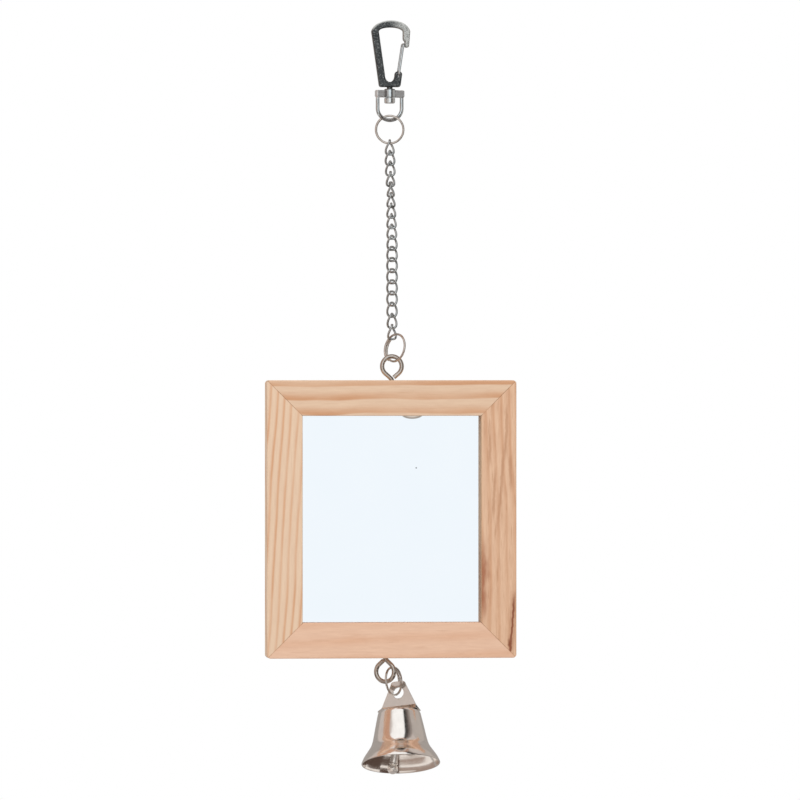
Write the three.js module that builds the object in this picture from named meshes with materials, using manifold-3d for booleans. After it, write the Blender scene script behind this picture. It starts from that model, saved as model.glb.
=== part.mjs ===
// Bird mirror with bell: a snap hook, a curb chain, a framed mirror and a bell, in millimetres, +Z up.
// The origin is the inner top of the hook's crown, where the cage bar bears. The mirror faces -Y.
import * as THREE from 'three';
import { mergeVertices } from 'three/addons/utils/BufferGeometryUtils.js';
import loadManifold from 'manifold-3d';

const manifold = await loadManifold();
manifold.setup();

// Clearances
const CONTACT_GAP = 0.25; // between wires that hang on one another
const FIT_GAP = 0.25; // around what sits in a hole, slot or rabbet
const SEAT_GAP = 0.15; // between flat faces that lie on one another
const MITRE_GAP = 0.15; // across each mitre

// Snap hook body
const HOOK_WIDTH = 15.2; // across the shoulders
const HOOK_LIMB = 2.75; // width of the crown and the back limb
const HOOK_DROP = 23.5; // inner crown to the bottom of the base
const HOOK_THICKNESS = 4;
const HOOK_EDGE = 0.45; // rounding of the casting's edges
const SHOULDER_DROP = 1.6; // inner crown to the shoulders
const BASE_WIDTH = 8.2;
const BASE_HEIGHT = 2; // metal under the opening
const BASE_SHIFT = -0.4; // base and swivel stem, to the left of the crown's middle
const NOSE_REACH = 7.9; // inner crown to the nose's end
const NOSE_END = 1.6; // width of the nose's end
const NOSE_STEP = 0.65; // depth of the seat that the gate closes into
const NOSE_SEAT = 2.4; // length of that seat
const HORN_RADIUS = 1.4; // ear that carries the gate
const HORN_SHIFT = 3.4; // from the stem's axis to the gate's pivot
const HORN_RISE = 4.9; // from the base's bottom to the gate's pivot

// Wire gate
const GATE_WIRE = 0.9;
const GATE_BEND = 0.9;
const GATE_TUCK = 1.4; // how far each wire end goes into the horn

// Swivel: stem and head on the hook, bail below
const STEM_DIAMETER = 2.3;
const HEAD_DIAMETER = 4.3;
const HEAD_HEIGHT = 2.2;
const NECK_LENGTH = 0.7; // between the hook's base and the bail's boss
const BOSS_DIAMETER = 4.4;
const BOSS_HEIGHT = 3.4;
const BAR_HEIGHT = 2.9;
const BAR_DEPTH = 2.4;
const BAIL_WIDTH = 12.4;
const BAIL_WIRE = 1.5;
const BAIL_LENGTH = 12.6; // bar's top to the bow's lowest point
const BOW_DEPTH = 4.6; // height of the bow's round part
const BAIL_YAW = 24;

// Wire split rings
const RING_DIAMETER = 11.7; // outside
const RING_WIRE = 0.9;
const RING_PITCH = 1.1; // between neighbouring turns
const RING_TURNS = 1.3;

// Curb chain
const LINK_COUNT = 18;
const LINK_LENGTH = 6.5; // outside
const LINK_WIDTH = 4.65; // outside
const LINK_WIRE = 0.95;
const LINK_PLAY = 0.2; // between the wires of a taut pair
const LINK_TWIST = 45; // of each end, about the link's length
const SLACK_LINKS = 8; // upper links that lie bunched
const CHAIN_SLACK = 0.25; // extra play of each bunched link
const CHAIN_DRIFT = 0.1; // to the right, from link to link in the upper half
const LINK_YAW = [45, 32, 34, 50, 66, 55, 45, 38, 30, 20, 10, 0, 0, 0, 0, 14, 30, 48];

// Screw eyes
const EYE_DIAMETER = 9.5; // outside
const EYE_WIRE = 1.75;
const EYE_SHANK = 9; // length in the wood
const EYE_STAND = 0.8; // loop's clearance over the wood
const EYE_LEAD = 40; // where the round of the loop ends, on both sides of the shank
const EYE_END = 2.25; // straight end of the wire, back to the shank
const TOP_EYE_SHIFT = 0.5; // from the frame's middle
const BOTTOM_EYE_SHIFT = -2.2;
const BOTTOM_EYE_YAW = -31;

// Frame
const OPENING_WIDTH = 70.6;
const OPENING_HEIGHT = 81.4;
const RAIL_WIDTH = 14;
const FRAME_DEPTH = 11;
const RAIL_EDGE = 0.4;
const FRAME_CORNER = 1.3; // rounding of the frame's outer corners, half of it on each rail
const RABBET_WIDTH = 4;
const MIRROR_RECESS = 5; // front of the frame to the glass
const GLASS_THICKNESS = 2;
const BACKING_THICKNESS = 1.8;
const FASTENER_LENGTH = 9;
const FASTENER_DEPTH = 5;
const FASTENER_THICKNESS = 0.5;
const FASTENER_WAVE = 0.35;
const FASTENER_INSET = 5; // from the frame's outer edges
const POINT_WIDTH = 7;
const POINT_LENGTH = 8.5;
const POINT_GRIP = 4; // of that length, in the rail
const POINT_THICKNESS = 0.4;

// Bell, in its own frame: the crown's top is the origin and the mouth is below
const BELL_HEIGHT = 21.25;
const CROWN_RADIUS = 8.3;
const WAIST_RADIUS = 10.9;
const WAIST_DROP = 12.4;
const MOUTH_RADIUS = 15.5;
const BELL_WALL = 0.6;
const SHOULDER_RADIUS = 1;
const HANGER_HEIGHT = 12.4;
const HANGER_BASE = 16.2;
const HANGER_TOP = 6.2;
const HANGER_CORNER = 1.3; // rounding of the tongue's upper corners
const HANGER_DEPTH = 6; // across the two leaves at the foot
const HANGER_SHEET = 0.45;
const HANGER_FOLD = 2.3; // height where the two leaves meet
const HANGER_HOLE = 4.5; // diameter
const HANGER_HOLE_HEIGHT = 7.7;
const RIVET_DIAMETER = 1.6;
const RIVET_HEAD = 2.2;
const RIVET_HEAD_HEIGHT = 0.5;
const LOOP_DIAMETER = 4.4; // eyes of the rivet and the clapper, outside
const LOOP_WIRE = 0.7;
const CLAPPER_LENGTH = 18; // pivot to the ball's middle
const CLAPPER_TOP = 2.2; // diameter
const CLAPPER_ROD = 3.2; // diameter at the lower end
const CLAPPER_BALL = 4.3;
const BELL_TILT = -17.5; // mouth towards the viewer
const BELL_YAW = -26;
const CLAPPER_LEAN = -8.6; // to the left

// How the rings lie: turn about Z, lean about their own level line, angles of what they hold,
// angle where the coil starts, and play between the ring's wire and what it holds
const UPPER_RING = { yaw: -10, lean: 0, above: 90, below: -90, start: 118, play: 0.5 };
const LOWER_RING = { yaw: -54, lean: -12, above: 124, below: -90, start: 142, play: 0.32 };
const BELL_RING = { yaw: 53, lean: -6, below: -60, start: -20 };
const LOWER_RING_ON_EYE = 75; // where it crosses the top eye
const BELL_RING_SHIFT = [3.4, 1.2, -3.8]; // from the bottom eye to the ring, middle to middle
const BELL_RING_PLAY = 1.75; // ring's wire to the top of the hanger's hole
const BELL_RING_ON_EYE = -55; // where it crosses the bottom eye

const STEEL = { color: 0x8e9396, roughness: 0.3, metalness: 1 };
const DARK_STEEL = { color: 0x4d5256, roughness: 0.38, metalness: 1 };
const NICKEL = { color: 0xb9aea2, roughness: 0.22, metalness: 1 };
const PINE = { color: 0xdfbd98, roughness: 0.65, metalness: 0 };
const MIRROR = { color: 0xeaf3fa, roughness: 0.04, metalness: 1 };
const BOARD = { color: 0x9a7650, roughness: 0.8, metalness: 0 };

const UP = new THREE.Vector3(0, 0, 1);
const FRONT = new THREE.Vector3(0, -1, 0);
const degrees = THREE.MathUtils.degToRad;
const point = (x, y, z) => new THREE.Vector3(x, y, z);

const assembly = new THREE.Group();
const pivots = {}; // where each moving piece turns, and about what, for a rig

function pivot(name, at, axis) {
  pivots[name] = { at: at.clone(), axis: axis.clone().normalize() };
}

function add(parent, name, geometry, look) {
  const mesh = new THREE.Mesh(geometry, new THREE.MeshStandardMaterial(look));
  mesh.name = name;
  parent.add(mesh);
  return mesh;
}

// Turn about Z by yaw, after a lean about X, in degrees.
function attitude(yaw, lean = 0) {
  const turn = new THREE.Quaternion().setFromAxisAngle(UP, degrees(yaw));
  const tip = new THREE.Quaternion().setFromAxisAngle(point(1, 0, 0), degrees(lean));
  return turn.multiply(tip);
}

// Point at an angle on a circle that stands in the XZ plane, turned by an attitude.
function onCircle(radius, angle, turn) {
  const a = degrees(angle);
  return point(radius * Math.cos(a), 0, radius * Math.sin(a)).applyQuaternion(turn);
}

// Booleans

function toSolid(geometry) {
  const bare = new THREE.BufferGeometry();
  bare.setAttribute('position', geometry.getAttribute('position'));
  bare.setIndex(geometry.index);
  const welded = mergeVertices(bare, 1e-4);
  const mesh = new manifold.Mesh({
    numProp: 3,
    vertProperties: new Float32Array(welded.getAttribute('position').array),
    triVerts: new Uint32Array(welded.index.array),
  });
  return new manifold.Manifold(mesh);
}

function toGeometry(solid) {
  const { vertProperties, triVerts, numProp } = solid.getMesh();
  const geometry = new THREE.BufferGeometry();
  const buffer = new THREE.InterleavedBuffer(vertProperties, numProp);
  const position = new Float32Array(buffer.count * 3);
  for (let i = 0; i < buffer.count; i += 1) {
    position.set(vertProperties.subarray(i * numProp, i * numProp + 3), i * 3);
  }
  geometry.setAttribute('position', new THREE.BufferAttribute(position, 3));
  geometry.setIndex(new THREE.BufferAttribute(triVerts, 1));
  geometry.computeVertexNormals();
  return geometry;
}

const joined = (...pieces) => toGeometry(
  pieces.map(toSolid).reduce((whole, piece) => whole.add(piece)),
);
const cut = (body, ...tools) => toGeometry(
  tools.map(toSolid).reduce((whole, tool) => whole.subtract(tool), toSolid(body)),
);
const common = (a, b) => toGeometry(toSolid(a).intersect(toSolid(b)));

// Basic forms

// Outline drawn in X and Z, made solid through Y and centred on Y = 0.
function slab(outline, thickness, edge = 0, curveSegments = 10) {
  const geometry = new THREE.ExtrudeGeometry(outline, {
    depth: thickness - 2 * edge,
    bevelEnabled: edge > 0,
    bevelThickness: edge,
    bevelSize: edge,
    bevelOffset: -edge,
    bevelSegments: 2,
    curveSegments,
  });
  return geometry.rotateX(Math.PI / 2).translate(0, thickness / 2 - edge, 0);
}

function polygon(corners) {
  return new THREE.Shape(corners.map(([x, z]) => new THREE.Vector2(x, z)));
}

// Profile of [radius, height] pairs, from the bottom up, turned about Z.
function turned(profile, segments = 24) {
  const points = profile.map(([r, z]) => new THREE.Vector2(r, z));
  return new THREE.LatheGeometry(points, segments).rotateX(Math.PI / 2);
}

function rod(radius, bottom, top, segments = 20) {
  return turned([[0, bottom], [radius, bottom], [radius, top], [0, top]], segments);
}

function block(width, depth, height) {
  return new THREE.BoxGeometry(width, depth, height);
}

// Skin over rings of points; an open skin is closed by a fan at each end.
function skin(rings, closed) {
  const sides = rings[0].length;
  const spans = closed ? rings.length : rings.length - 1;
  const index = [];
  for (let i = 0; i < spans; i += 1) {
    const here = i * sides;
    const next = ((i + 1) % rings.length) * sides;
    for (let j = 0; j < sides; j += 1) {
      const k = (j + 1) % sides;
      index.push(here + j, here + k, next + k, here + j, next + k, next + j);
    }
  }
  const last = (rings.length - 1) * sides;
  for (let j = 1; j < sides - 1 && !closed; j += 1) {
    index.push(0, j + 1, j, last, last + j, last + j + 1);
  }
  const geometry = new THREE.BufferGeometry().setFromPoints(rings.flat());
  geometry.setIndex(index);
  geometry.computeVertexNormals();
  return geometry;
}

// Round wire through points; sideways gives, at each point, a direction across the wire.
function wire(points, diameter, sideways, closed, sides = 8) {
  const count = points.length;
  const rings = points.map((centre, i) => {
    const before = points[closed ? (i + count - 1) % count : Math.max(i - 1, 0)];
    const after = points[closed ? (i + 1) % count : Math.min(i + 1, count - 1)];
    const along = after.clone().sub(before).normalize();
    const out = sideways(i).clone().addScaledVector(along, -sideways(i).dot(along)).normalize();
    const across = along.clone().cross(out);
    return Array.from({ length: sides }, (_, j) => {
      const a = (2 * Math.PI * (j + 0.5)) / sides;
      const spot = centre.clone().addScaledVector(out, (diameter / 2) * Math.cos(a));
      return spot.addScaledVector(across, (diameter / 2) * Math.sin(a));
    });
  });
  return skin(rings, closed);
}

// Points along corners, with each inner corner rounded off.
function roundedRoute(corners, radius, steps = 4) {
  const route = [corners[0]];
  for (let i = 1; i < corners.length - 1; i += 1) {
    const back = corners[i - 1].clone().sub(corners[i]).setLength(radius).add(corners[i]);
    const ahead = corners[i + 1].clone().sub(corners[i]).setLength(radius).add(corners[i]);
    route.push(...new THREE.QuadraticBezierCurve3(back, corners[i], ahead).getPoints(steps));
  }
  return [...route, corners.at(-1)];
}

// Upright closed ring of round wire in the XZ plane.
function loop(outside, thickness, steps = 20, sides = 8) {
  const radius = (outside - thickness) / 2;
  const points = Array.from({ length: steps }, (_, i) => {
    const a = (2 * Math.PI * i) / steps;
    return point(radius * Math.cos(a), 0, radius * Math.sin(a));
  });
  return wire(points, thickness, () => FRONT, true, sides);
}

// Snap hook

const baseBottom = -HOOK_DROP;
const stemX = BASE_SHIFT;
const gatePivot = point(stemX + HORN_SHIFT, 0, baseBottom + HORN_RISE);
const gateBar = point(
  HOOK_WIDTH / 2 - HOOK_LIMB + NOSE_STEP - GATE_WIRE / 2 - CONTACT_GAP,
  0,
  -NOSE_REACH + NOSE_SEAT / 2,
);
const bossTop = baseBottom - NECK_LENGTH;
const headTop = bossTop - BOSS_HEIGHT - SEAT_GAP;

function hookOutline() {
  const shoulder = HOOK_WIDTH / 2;
  const inner = shoulder - HOOK_LIMB;
  const noseSeat = inner + NOSE_STEP;
  const pocket = baseBottom + BASE_HEIGHT;
  const hornLeft = gatePivot.x - HORN_RADIUS;
  const outerPull = (4 * HOOK_LIMB + SHOULDER_DROP) / 3; // a cubic's top lies 3/4 of the way to its pulls
  const innerPull = SHOULDER_DROP / 3;
  const pocketPull = (4 * pocket - gatePivot.z) / 3;
  const backFoot = stemX - BASE_WIDTH / 2 + HOOK_LIMB * 0.75;
  const outline = new THREE.Shape();
  outline.moveTo(noseSeat, -NOSE_REACH);
  outline.lineTo(noseSeat + NOSE_END, -NOSE_REACH);
  outline.lineTo(shoulder, -SHOULDER_DROP);
  outline.bezierCurveTo(inner * 1.3, outerPull, -inner * 1.3, outerPull, -shoulder, -SHOULDER_DROP);
  outline.lineTo(stemX - BASE_WIDTH / 2, baseBottom);
  outline.lineTo(stemX + BASE_WIDTH / 2, baseBottom);
  outline.lineTo(gatePivot.x + HORN_RADIUS, gatePivot.z);
  outline.absarc(gatePivot.x, gatePivot.z, HORN_RADIUS, 0, Math.PI, false);
  outline.bezierCurveTo(hornLeft, pocketPull, backFoot, pocketPull, backFoot, gatePivot.z);
  outline.lineTo(-inner, -SHOULDER_DROP);
  outline.bezierCurveTo(-inner * 0.85, innerPull, inner * 0.85, innerPull, inner, -SHOULDER_DROP);
  outline.lineTo(inner, -NOSE_REACH + NOSE_SEAT + NOSE_STEP);
  outline.lineTo(noseSeat, -NOSE_REACH + NOSE_SEAT);
  outline.closePath();
  return outline;
}

function hookBody() {
  const stem = STEM_DIAMETER / 2;
  const head = HEAD_DIAMETER / 2;
  const headBottom = headTop - HEAD_HEIGHT;
  const swivel = turned([
    [0, headBottom],
    [head * 0.8, headBottom],
    [head, headBottom + head * 0.2],
    [head, headTop],
    [stem, headTop],
    [stem, baseBottom + BASE_HEIGHT / 2],
    [0, baseBottom + BASE_HEIGHT / 2],
  ]).translate(stemX, 0, 0);
  const gateHole = rod(GATE_WIRE / 2 + FIT_GAP, -HOOK_THICKNESS, HOOK_THICKNESS, 12)
    .rotateX(Math.PI / 2)
    .translate(gatePivot.x, 0, gatePivot.z);
  return cut(joined(slab(hookOutline(), HOOK_THICKNESS, HOOK_EDGE), swivel), gateHole);
}

function gateWire() {
  const side = HOOK_THICKNESS / 2 + GATE_WIRE / 2 + CONTACT_GAP;
  const tuck = HOOK_THICKNESS / 2 - GATE_TUCK;
  const corners = [
    gatePivot.clone().setY(tuck),
    gatePivot.clone().setY(side),
    gateBar.clone().setY(side),
    gateBar.clone().setY(-side),
    gatePivot.clone().setY(-side),
    gatePivot.clone().setY(-tuck),
  ];
  const rise = gateBar.clone().sub(gatePivot);
  const across = rise.cross(FRONT);
  return wire(roundedRoute(corners, GATE_BEND), GATE_WIRE, () => across, false);
}

// The bail turns about the stem; its own frame is on the stem's axis at the boss's top.
const bowBottom = bossTop - BAIL_LENGTH + BAIL_WIRE / 2 - (BOSS_HEIGHT - BAR_HEIGHT);

function swivelBail() {
  const barTop = -(BOSS_HEIGHT - BAR_HEIGHT);
  const bow = BAIL_WIDTH / 2 - BAIL_WIRE / 2;
  const bowTop = bowBottom - bossTop + BOW_DEPTH;
  const route = [point(-bow, 0, barTop - BAR_HEIGHT / 2)];
  for (let angle = 180; angle <= 360; angle += 15) {
    const a = degrees(angle);
    route.push(point(bow * Math.cos(a), 0, bowTop + BOW_DEPTH * Math.sin(a)));
  }
  route.push(point(bow, 0, barTop - BAR_HEIGHT / 2));
  const bar = block(BAIL_WIDTH, BAR_DEPTH, BAR_HEIGHT).translate(0, 0, barTop - BAR_HEIGHT / 2);
  const boss = rod(BOSS_DIAMETER / 2, -BOSS_HEIGHT, 0);
  const bore = rod(STEM_DIAMETER / 2 + FIT_GAP / 2, -2 * BOSS_HEIGHT, BOSS_HEIGHT);
  return cut(joined(bar, boss, wire(route, BAIL_WIRE, () => FRONT, false, 10)), bore);
}

add(assembly, 'hook_body', hookBody(), DARK_STEEL);
add(assembly, 'gate_wire', gateWire(), STEEL);
pivot('gate_wire', gatePivot, FRONT);

const bailTurn = attitude(BAIL_YAW);
const bail = add(assembly, 'swivel_bail', swivelBail(), STEEL);
bail.position.set(stemX, 0, bossTop);
bail.quaternion.copy(bailTurn);
pivot('swivel_bail', bail.position, UP);

// Split rings

const ringRadius = (RING_DIAMETER - RING_WIRE) / 2;

// Point of a coil about Y, some turns on from its start angle, at a distance from its axis.
function onCoil(lie, turns, radius = ringRadius) {
  const a = degrees(lie.start) + 2 * Math.PI * turns;
  const level = RING_PITCH * (turns - RING_TURNS / 2);
  return point(radius * Math.cos(a), -level, radius * Math.sin(a));
}

// The same for an angle in degrees, where the coil has one strand only, turned as the ring lies.
function atRing(lie, angle, turn, radius = ringRadius) {
  const turns = THREE.MathUtils.euclideanModulo((angle - lie.start) / 360, 1);
  return onCoil(lie, turns, radius).applyQuaternion(turn);
}

function splitRingRoute(lie, steps = 48) {
  return Array.from({ length: steps + 1 }, (_, i) => onCoil(lie, (RING_TURNS * i) / steps));
}

// Least distance between the skins of neighbouring turns, half a turn or more apart along the wire.
function leastSelfGap(points, apart, diameter) {
  let least = Infinity;
  for (let i = 0; i < points.length; i += 1) {
    for (let j = i + apart; j < points.length; j += 1) {
      least = Math.min(least, points[i].distanceTo(points[j]));
    }
  }
  return least - diameter;
}

function splitRing(name, lie, centre, turn) {
  const route = splitRingRoute(lie);
  const geometry = wire(route, RING_WIRE, () => FRONT, false);
  const halfTurn = Math.round(route.length / RING_TURNS / 2);
  const gap = leastSelfGap(route, halfTurn, RING_WIRE);
  console.log(`${name}: least gap between turns ${gap.toFixed(2)} mm`);
  const mesh = add(assembly, name, geometry, NICKEL);
  mesh.position.copy(centre);
  mesh.quaternion.copy(turn);
}

// Distance from a ring's middle to the middle of a wire that bears on the ring from inside.
const insideRing = (lie, other) => ringRadius - RING_WIRE / 2 - other / 2 - lie.play;

const upperTurn = attitude(UPPER_RING.yaw, UPPER_RING.lean);
const bow = point(stemX, 0, bowBottom);
const upperCentre = bow.clone();
const bowHold = insideRing(UPPER_RING, BAIL_WIRE);
upperCentre.sub(atRing(UPPER_RING, UPPER_RING.above, upperTurn, bowHold));
splitRing('upper_split_ring', UPPER_RING, upperCentre, upperTurn);
pivot('upper_split_ring', bow, point(1, 0, 0).applyQuaternion(bailTurn));

// Curb chain

const linkReach = (LINK_LENGTH - LINK_WIRE) / 2;

function curbLink(steps = 24) {
  const half = (LINK_WIDTH - LINK_WIRE) / 2;
  const straight = linkReach - half;
  const oval = new THREE.Path();
  oval.absarc(0, straight, half, 0, Math.PI, false);
  oval.absarc(0, -straight, half, Math.PI, 2 * Math.PI, false);
  oval.lineTo(half, straight);
  const twists = [];
  const route = oval.getSpacedPoints(steps).slice(0, steps).map(({ x, y: z }) => {
    const twist = degrees(LINK_TWIST) * (z / linkReach);
    twists.push(twist);
    return point(x * Math.cos(twist), x * Math.sin(twist), z);
  });
  const sideways = (i) => point(Math.sin(twists[i]), -Math.cos(twists[i]), 0);
  return wire(route, LINK_WIRE, sideways, true, 6);
}

const linkForm = curbLink();
const firstSeat = upperCentre.clone().add(atRing(UPPER_RING, UPPER_RING.below, upperTurn));
let seat = firstSeat.clone().setZ(firstSeat.z + RING_WIRE / 2 + LINK_WIRE / 2 + CONTACT_GAP);
for (let i = 0; i < LINK_COUNT; i += 1) {
  const name = `chain_link_${String(i + 1).padStart(2, '0')}`;
  const link = add(assembly, name, linkForm, STEEL);
  link.position.copy(seat).setZ(seat.z - linkReach);
  link.rotation.z = degrees(LINK_YAW[i]);
  // Links turn in turn about the wire above and about their own wire, so the chain bends both ways.
  const slack = i > 0 && i <= SLACK_LINKS ? CHAIN_SLACK : 0;
  const play = LINK_WIRE + LINK_PLAY + slack;
  const own = point(1, 0, 0).applyQuaternion(attitude(LINK_YAW[i] + LINK_TWIST));
  const above = point(1, 0, 0).applyQuaternion(attitude(LINK_YAW[Math.max(i - 1, 0)] - LINK_TWIST));
  const sense = i % 4 < 2 ? 1 : -1;
  if (i === 0) {
    pivot(name, firstSeat, point(1, 0, 0).applyQuaternion(upperTurn));
  } else if (i % 2 === 0) {
    pivot(name, seat.clone().setZ(seat.z - play), above.multiplyScalar(sense));
  } else {
    pivot(name, seat, own.multiplyScalar(sense));
  }
  const nextSlack = i < SLACK_LINKS ? CHAIN_SLACK : 0;
  seat.z -= 2 * linkReach - LINK_WIRE - LINK_PLAY - nextSlack;
  seat.x += i < LINK_COUNT / 2 ? CHAIN_DRIFT : 0;
}
const chainEnd = seat.clone().setZ(seat.z - LINK_WIRE - LINK_PLAY);

const lowerTurn = attitude(LOWER_RING.yaw, LOWER_RING.lean);
const lowerCentre = chainEnd.clone();
const lastHold = insideRing(LOWER_RING, LINK_WIRE);
lowerCentre.sub(atRing(LOWER_RING, LOWER_RING.above, lowerTurn, lastHold));
splitRing('lower_split_ring', LOWER_RING, lowerCentre, lowerTurn);
pivot(
  'lower_split_ring',
  chainEnd,
  point(1, 0, 0).applyQuaternion(attitude(LINK_YAW[LINK_COUNT - 1] - LINK_TWIST)),
);

// Screw eyes: loop in the XZ plane about the origin, shank below

const eyeRadius = (EYE_DIAMETER - EYE_WIRE) / 2;
const eyeFoot = EYE_DIAMETER / 2 + EYE_STAND; // loop's middle to the wood

function screwEye() {
  const level = new THREE.Quaternion();
  const lead = onCircle(eyeRadius, -90 - EYE_LEAD, level);
  const corner = point(0, 0, lead.z + lead.x * Math.tan(degrees(EYE_LEAD)));
  const foot = point(0, 0, -eyeFoot);
  const route = [point(0, 0, -eyeFoot - EYE_SHANK)];
  route.push(...new THREE.QuadraticBezierCurve3(foot, corner, lead).getPoints(6));
  const sweep = 360 - 2 * EYE_LEAD;
  for (let i = 1; i <= 30; i += 1) {
    route.push(onCircle(eyeRadius, -90 - EYE_LEAD - (sweep * i) / 30, level));
  }
  const down = onCircle(EYE_END, 180 + EYE_LEAD, level);
  route.push(route.at(-1).clone().add(down));
  return wire(route, EYE_WIRE, () => FRONT, false);
}

const topEyeCentre = lowerCentre.clone();
const eyeHold = insideRing(LOWER_RING, EYE_WIRE) - CONTACT_GAP;
topEyeCentre.add(atRing(LOWER_RING, LOWER_RING.below, lowerTurn, eyeHold));
topEyeCentre.sub(onCircle(eyeRadius, LOWER_RING_ON_EYE, new THREE.Quaternion()));
const frameTangent = onCircle(1, LOWER_RING.below + 90, lowerTurn);
const ringAtEye = lowerCentre.clone().add(atRing(LOWER_RING, LOWER_RING.below, lowerTurn));
pivot('mirror_frame', ringAtEye, frameTangent);

// Mirror frame: its own frame is at the middle of the frame, front at -Y

const frameWidth = OPENING_WIDTH + 2 * RAIL_WIDTH;
const frameHeight = OPENING_HEIGHT + 2 * RAIL_WIDTH;
const frontY = -FRAME_DEPTH / 2;
const glassFront = frontY + MIRROR_RECESS + SEAT_GAP;
const boardFront = glassFront + GLASS_THICKNESS + SEAT_GAP;
const pointFront = boardFront + BACKING_THICKNESS + SEAT_GAP;
const rabbetWall = RABBET_WIDTH - RAIL_WIDTH / 2;

const mirrorFrame = new THREE.Group();
mirrorFrame.position.copy(topEyeCentre);
mirrorFrame.position.x -= TOP_EYE_SHIFT;
mirrorFrame.position.z -= eyeFoot + frameHeight / 2;
assembly.add(mirrorFrame);

// Wavy plate, sunk across a mitre from the back, in the XZ plane along X.
function fastener() {
  const steps = 24;
  const edge = (sign) => Array.from({ length: steps + 1 }, (_, i) => {
    const wave = FASTENER_WAVE * Math.sin((6 * Math.PI * i) / steps);
    return [(i / steps - 0.5) * FASTENER_LENGTH, wave + (sign * FASTENER_THICKNESS) / 2];
  });
  const plate = slab(polygon([...edge(-1), ...edge(1).reverse()]), FASTENER_DEPTH);
  return plate.translate(0, (FRAME_DEPTH - FASTENER_DEPTH) / 2 - SEAT_GAP, 0);
}

function fastenerSlot(x, z, angle) {
  const across = FASTENER_THICKNESS + 2 * FASTENER_WAVE + 2 * FIT_GAP;
  const deep = FASTENER_DEPTH + SEAT_GAP + FIT_GAP;
  return block(FASTENER_LENGTH + 2 * FIT_GAP, 2 * deep, across)
    .translate(0, FRAME_DEPTH / 2, 0)
    .rotateY(degrees(angle))
    .translate(x, 0, z);
}

// Rail of the frame, outer edge up, with its rabbet and the pockets for what is driven into it.
function rail(outer, inner, eyeShift = null) {
  const half = RAIL_WIDTH / 2;
  const trim = MITRE_GAP * Math.SQRT1_2;
  const bend = (angle) => [
    outer / 2 - trim - FRAME_CORNER * (1 - Math.cos(degrees(angle))),
    half - FRAME_CORNER * (1 - Math.sin(degrees(angle))),
  ];
  const rightSide = [[inner / 2 - trim, -half], ...[45, 60, 75, 90].map(bend)];
  const leftSide = rightSide.map(([x, z]) => [-x, z]).reverse();
  const mitred = slab(polygon([...rightSide, ...leftSide]), 2 * FRAME_DEPTH);
  const section = polygon([[-outer, -half], [outer, -half], [outer, half], [-outer, half]]);
  const stock = slab(section, FRAME_DEPTH, RAIL_EDGE);
  const back = FRAME_DEPTH - MIRROR_RECESS;
  const rabbet = block(2 * outer, 2 * back, 2 * RABBET_WIDTH).translate(0, FRAME_DEPTH / 2, -half);
  const pocket = block(
    POINT_WIDTH + 2 * FIT_GAP,
    POINT_THICKNESS + 2 * FIT_GAP,
    2 * (POINT_GRIP + FIT_GAP),
  ).translate(0, pointFront + POINT_THICKNESS / 2, rabbetWall);
  const inset = outer / 2 - FASTENER_INSET;
  const tools = [
    rabbet,
    pocket,
    fastenerSlot(inset, half - FASTENER_INSET, 45),
    fastenerSlot(-inset, half - FASTENER_INSET, -45),
  ];
  if (eyeShift !== null) {
    const pilot = rod(EYE_WIRE / 2 + FIT_GAP, half - EYE_SHANK - FIT_GAP, RAIL_WIDTH, 16);
    tools.push(pilot.translate(eyeShift, 0, 0));
  }
  return cut(common(stock, mitred), ...tools);
}

// Flat pointed plate that holds the backing in, upright with its point in the rail above.
function glazierPoint() {
  const wide = POINT_WIDTH / 2;
  const low = POINT_GRIP - POINT_LENGTH;
  const outline = polygon([[-wide, low], [wide, low], [wide, 0], [0, POINT_GRIP], [-wide, 0]]);
  const plate = slab(outline, POINT_THICKNESS);
  return plate.translate(0, pointFront + POINT_THICKNESS / 2, rabbetWall);
}

const RAILS = [
  { name: 'top', turn: 0, outer: frameWidth, inner: OPENING_WIDTH, eye: TOP_EYE_SHIFT },
  { name: 'right', turn: 90, outer: frameHeight, inner: OPENING_HEIGHT, eye: null },
  { name: 'bottom', turn: 180, outer: frameWidth, inner: OPENING_WIDTH, eye: -BOTTOM_EYE_SHIFT },
  { name: 'left', turn: 270, outer: frameHeight, inner: OPENING_HEIGHT, eye: null },
];

for (const { name, turn, outer, inner, eye } of RAILS) {
  const side = new THREE.Group();
  const reach = (name === 'top' || name === 'bottom' ? OPENING_HEIGHT : OPENING_WIDTH) / 2;
  side.rotation.y = degrees(turn);
  side.position.set(0, 0, reach + RAIL_WIDTH / 2).applyEuler(side.rotation);
  mirrorFrame.add(side);
  add(side, `${name}_rail`, rail(outer, inner, eye), PINE);
  add(side, `${name}_glazier_point`, glazierPoint(), STEEL);
}

const CORNERS = [
  ['top_left', -1, 1], ['top_right', 1, 1],
  ['bottom_left', -1, -1], ['bottom_right', 1, -1],
];
for (const [name, sx, sz] of CORNERS) {
  const plate = add(mirrorFrame, `${name}_corner_fastener`, fastener(), STEEL);
  plate.position.set(sx * (frameWidth / 2 - FASTENER_INSET), 0, sz * (frameHeight / 2 - FASTENER_INSET));
  plate.rotation.y = degrees(sx * sz * 45);
}

const paneWidth = OPENING_WIDTH + 2 * (RABBET_WIDTH - FIT_GAP);
const paneHeight = OPENING_HEIGHT + 2 * (RABBET_WIDTH - FIT_GAP);
const glass = add(mirrorFrame, 'mirror_glass', block(paneWidth, GLASS_THICKNESS, paneHeight), MIRROR);
glass.position.y = glassFront + GLASS_THICKNESS / 2;
const board = add(mirrorFrame, 'backing_board', block(paneWidth, BACKING_THICKNESS, paneHeight), BOARD);
board.position.y = boardFront + BACKING_THICKNESS / 2;

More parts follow.
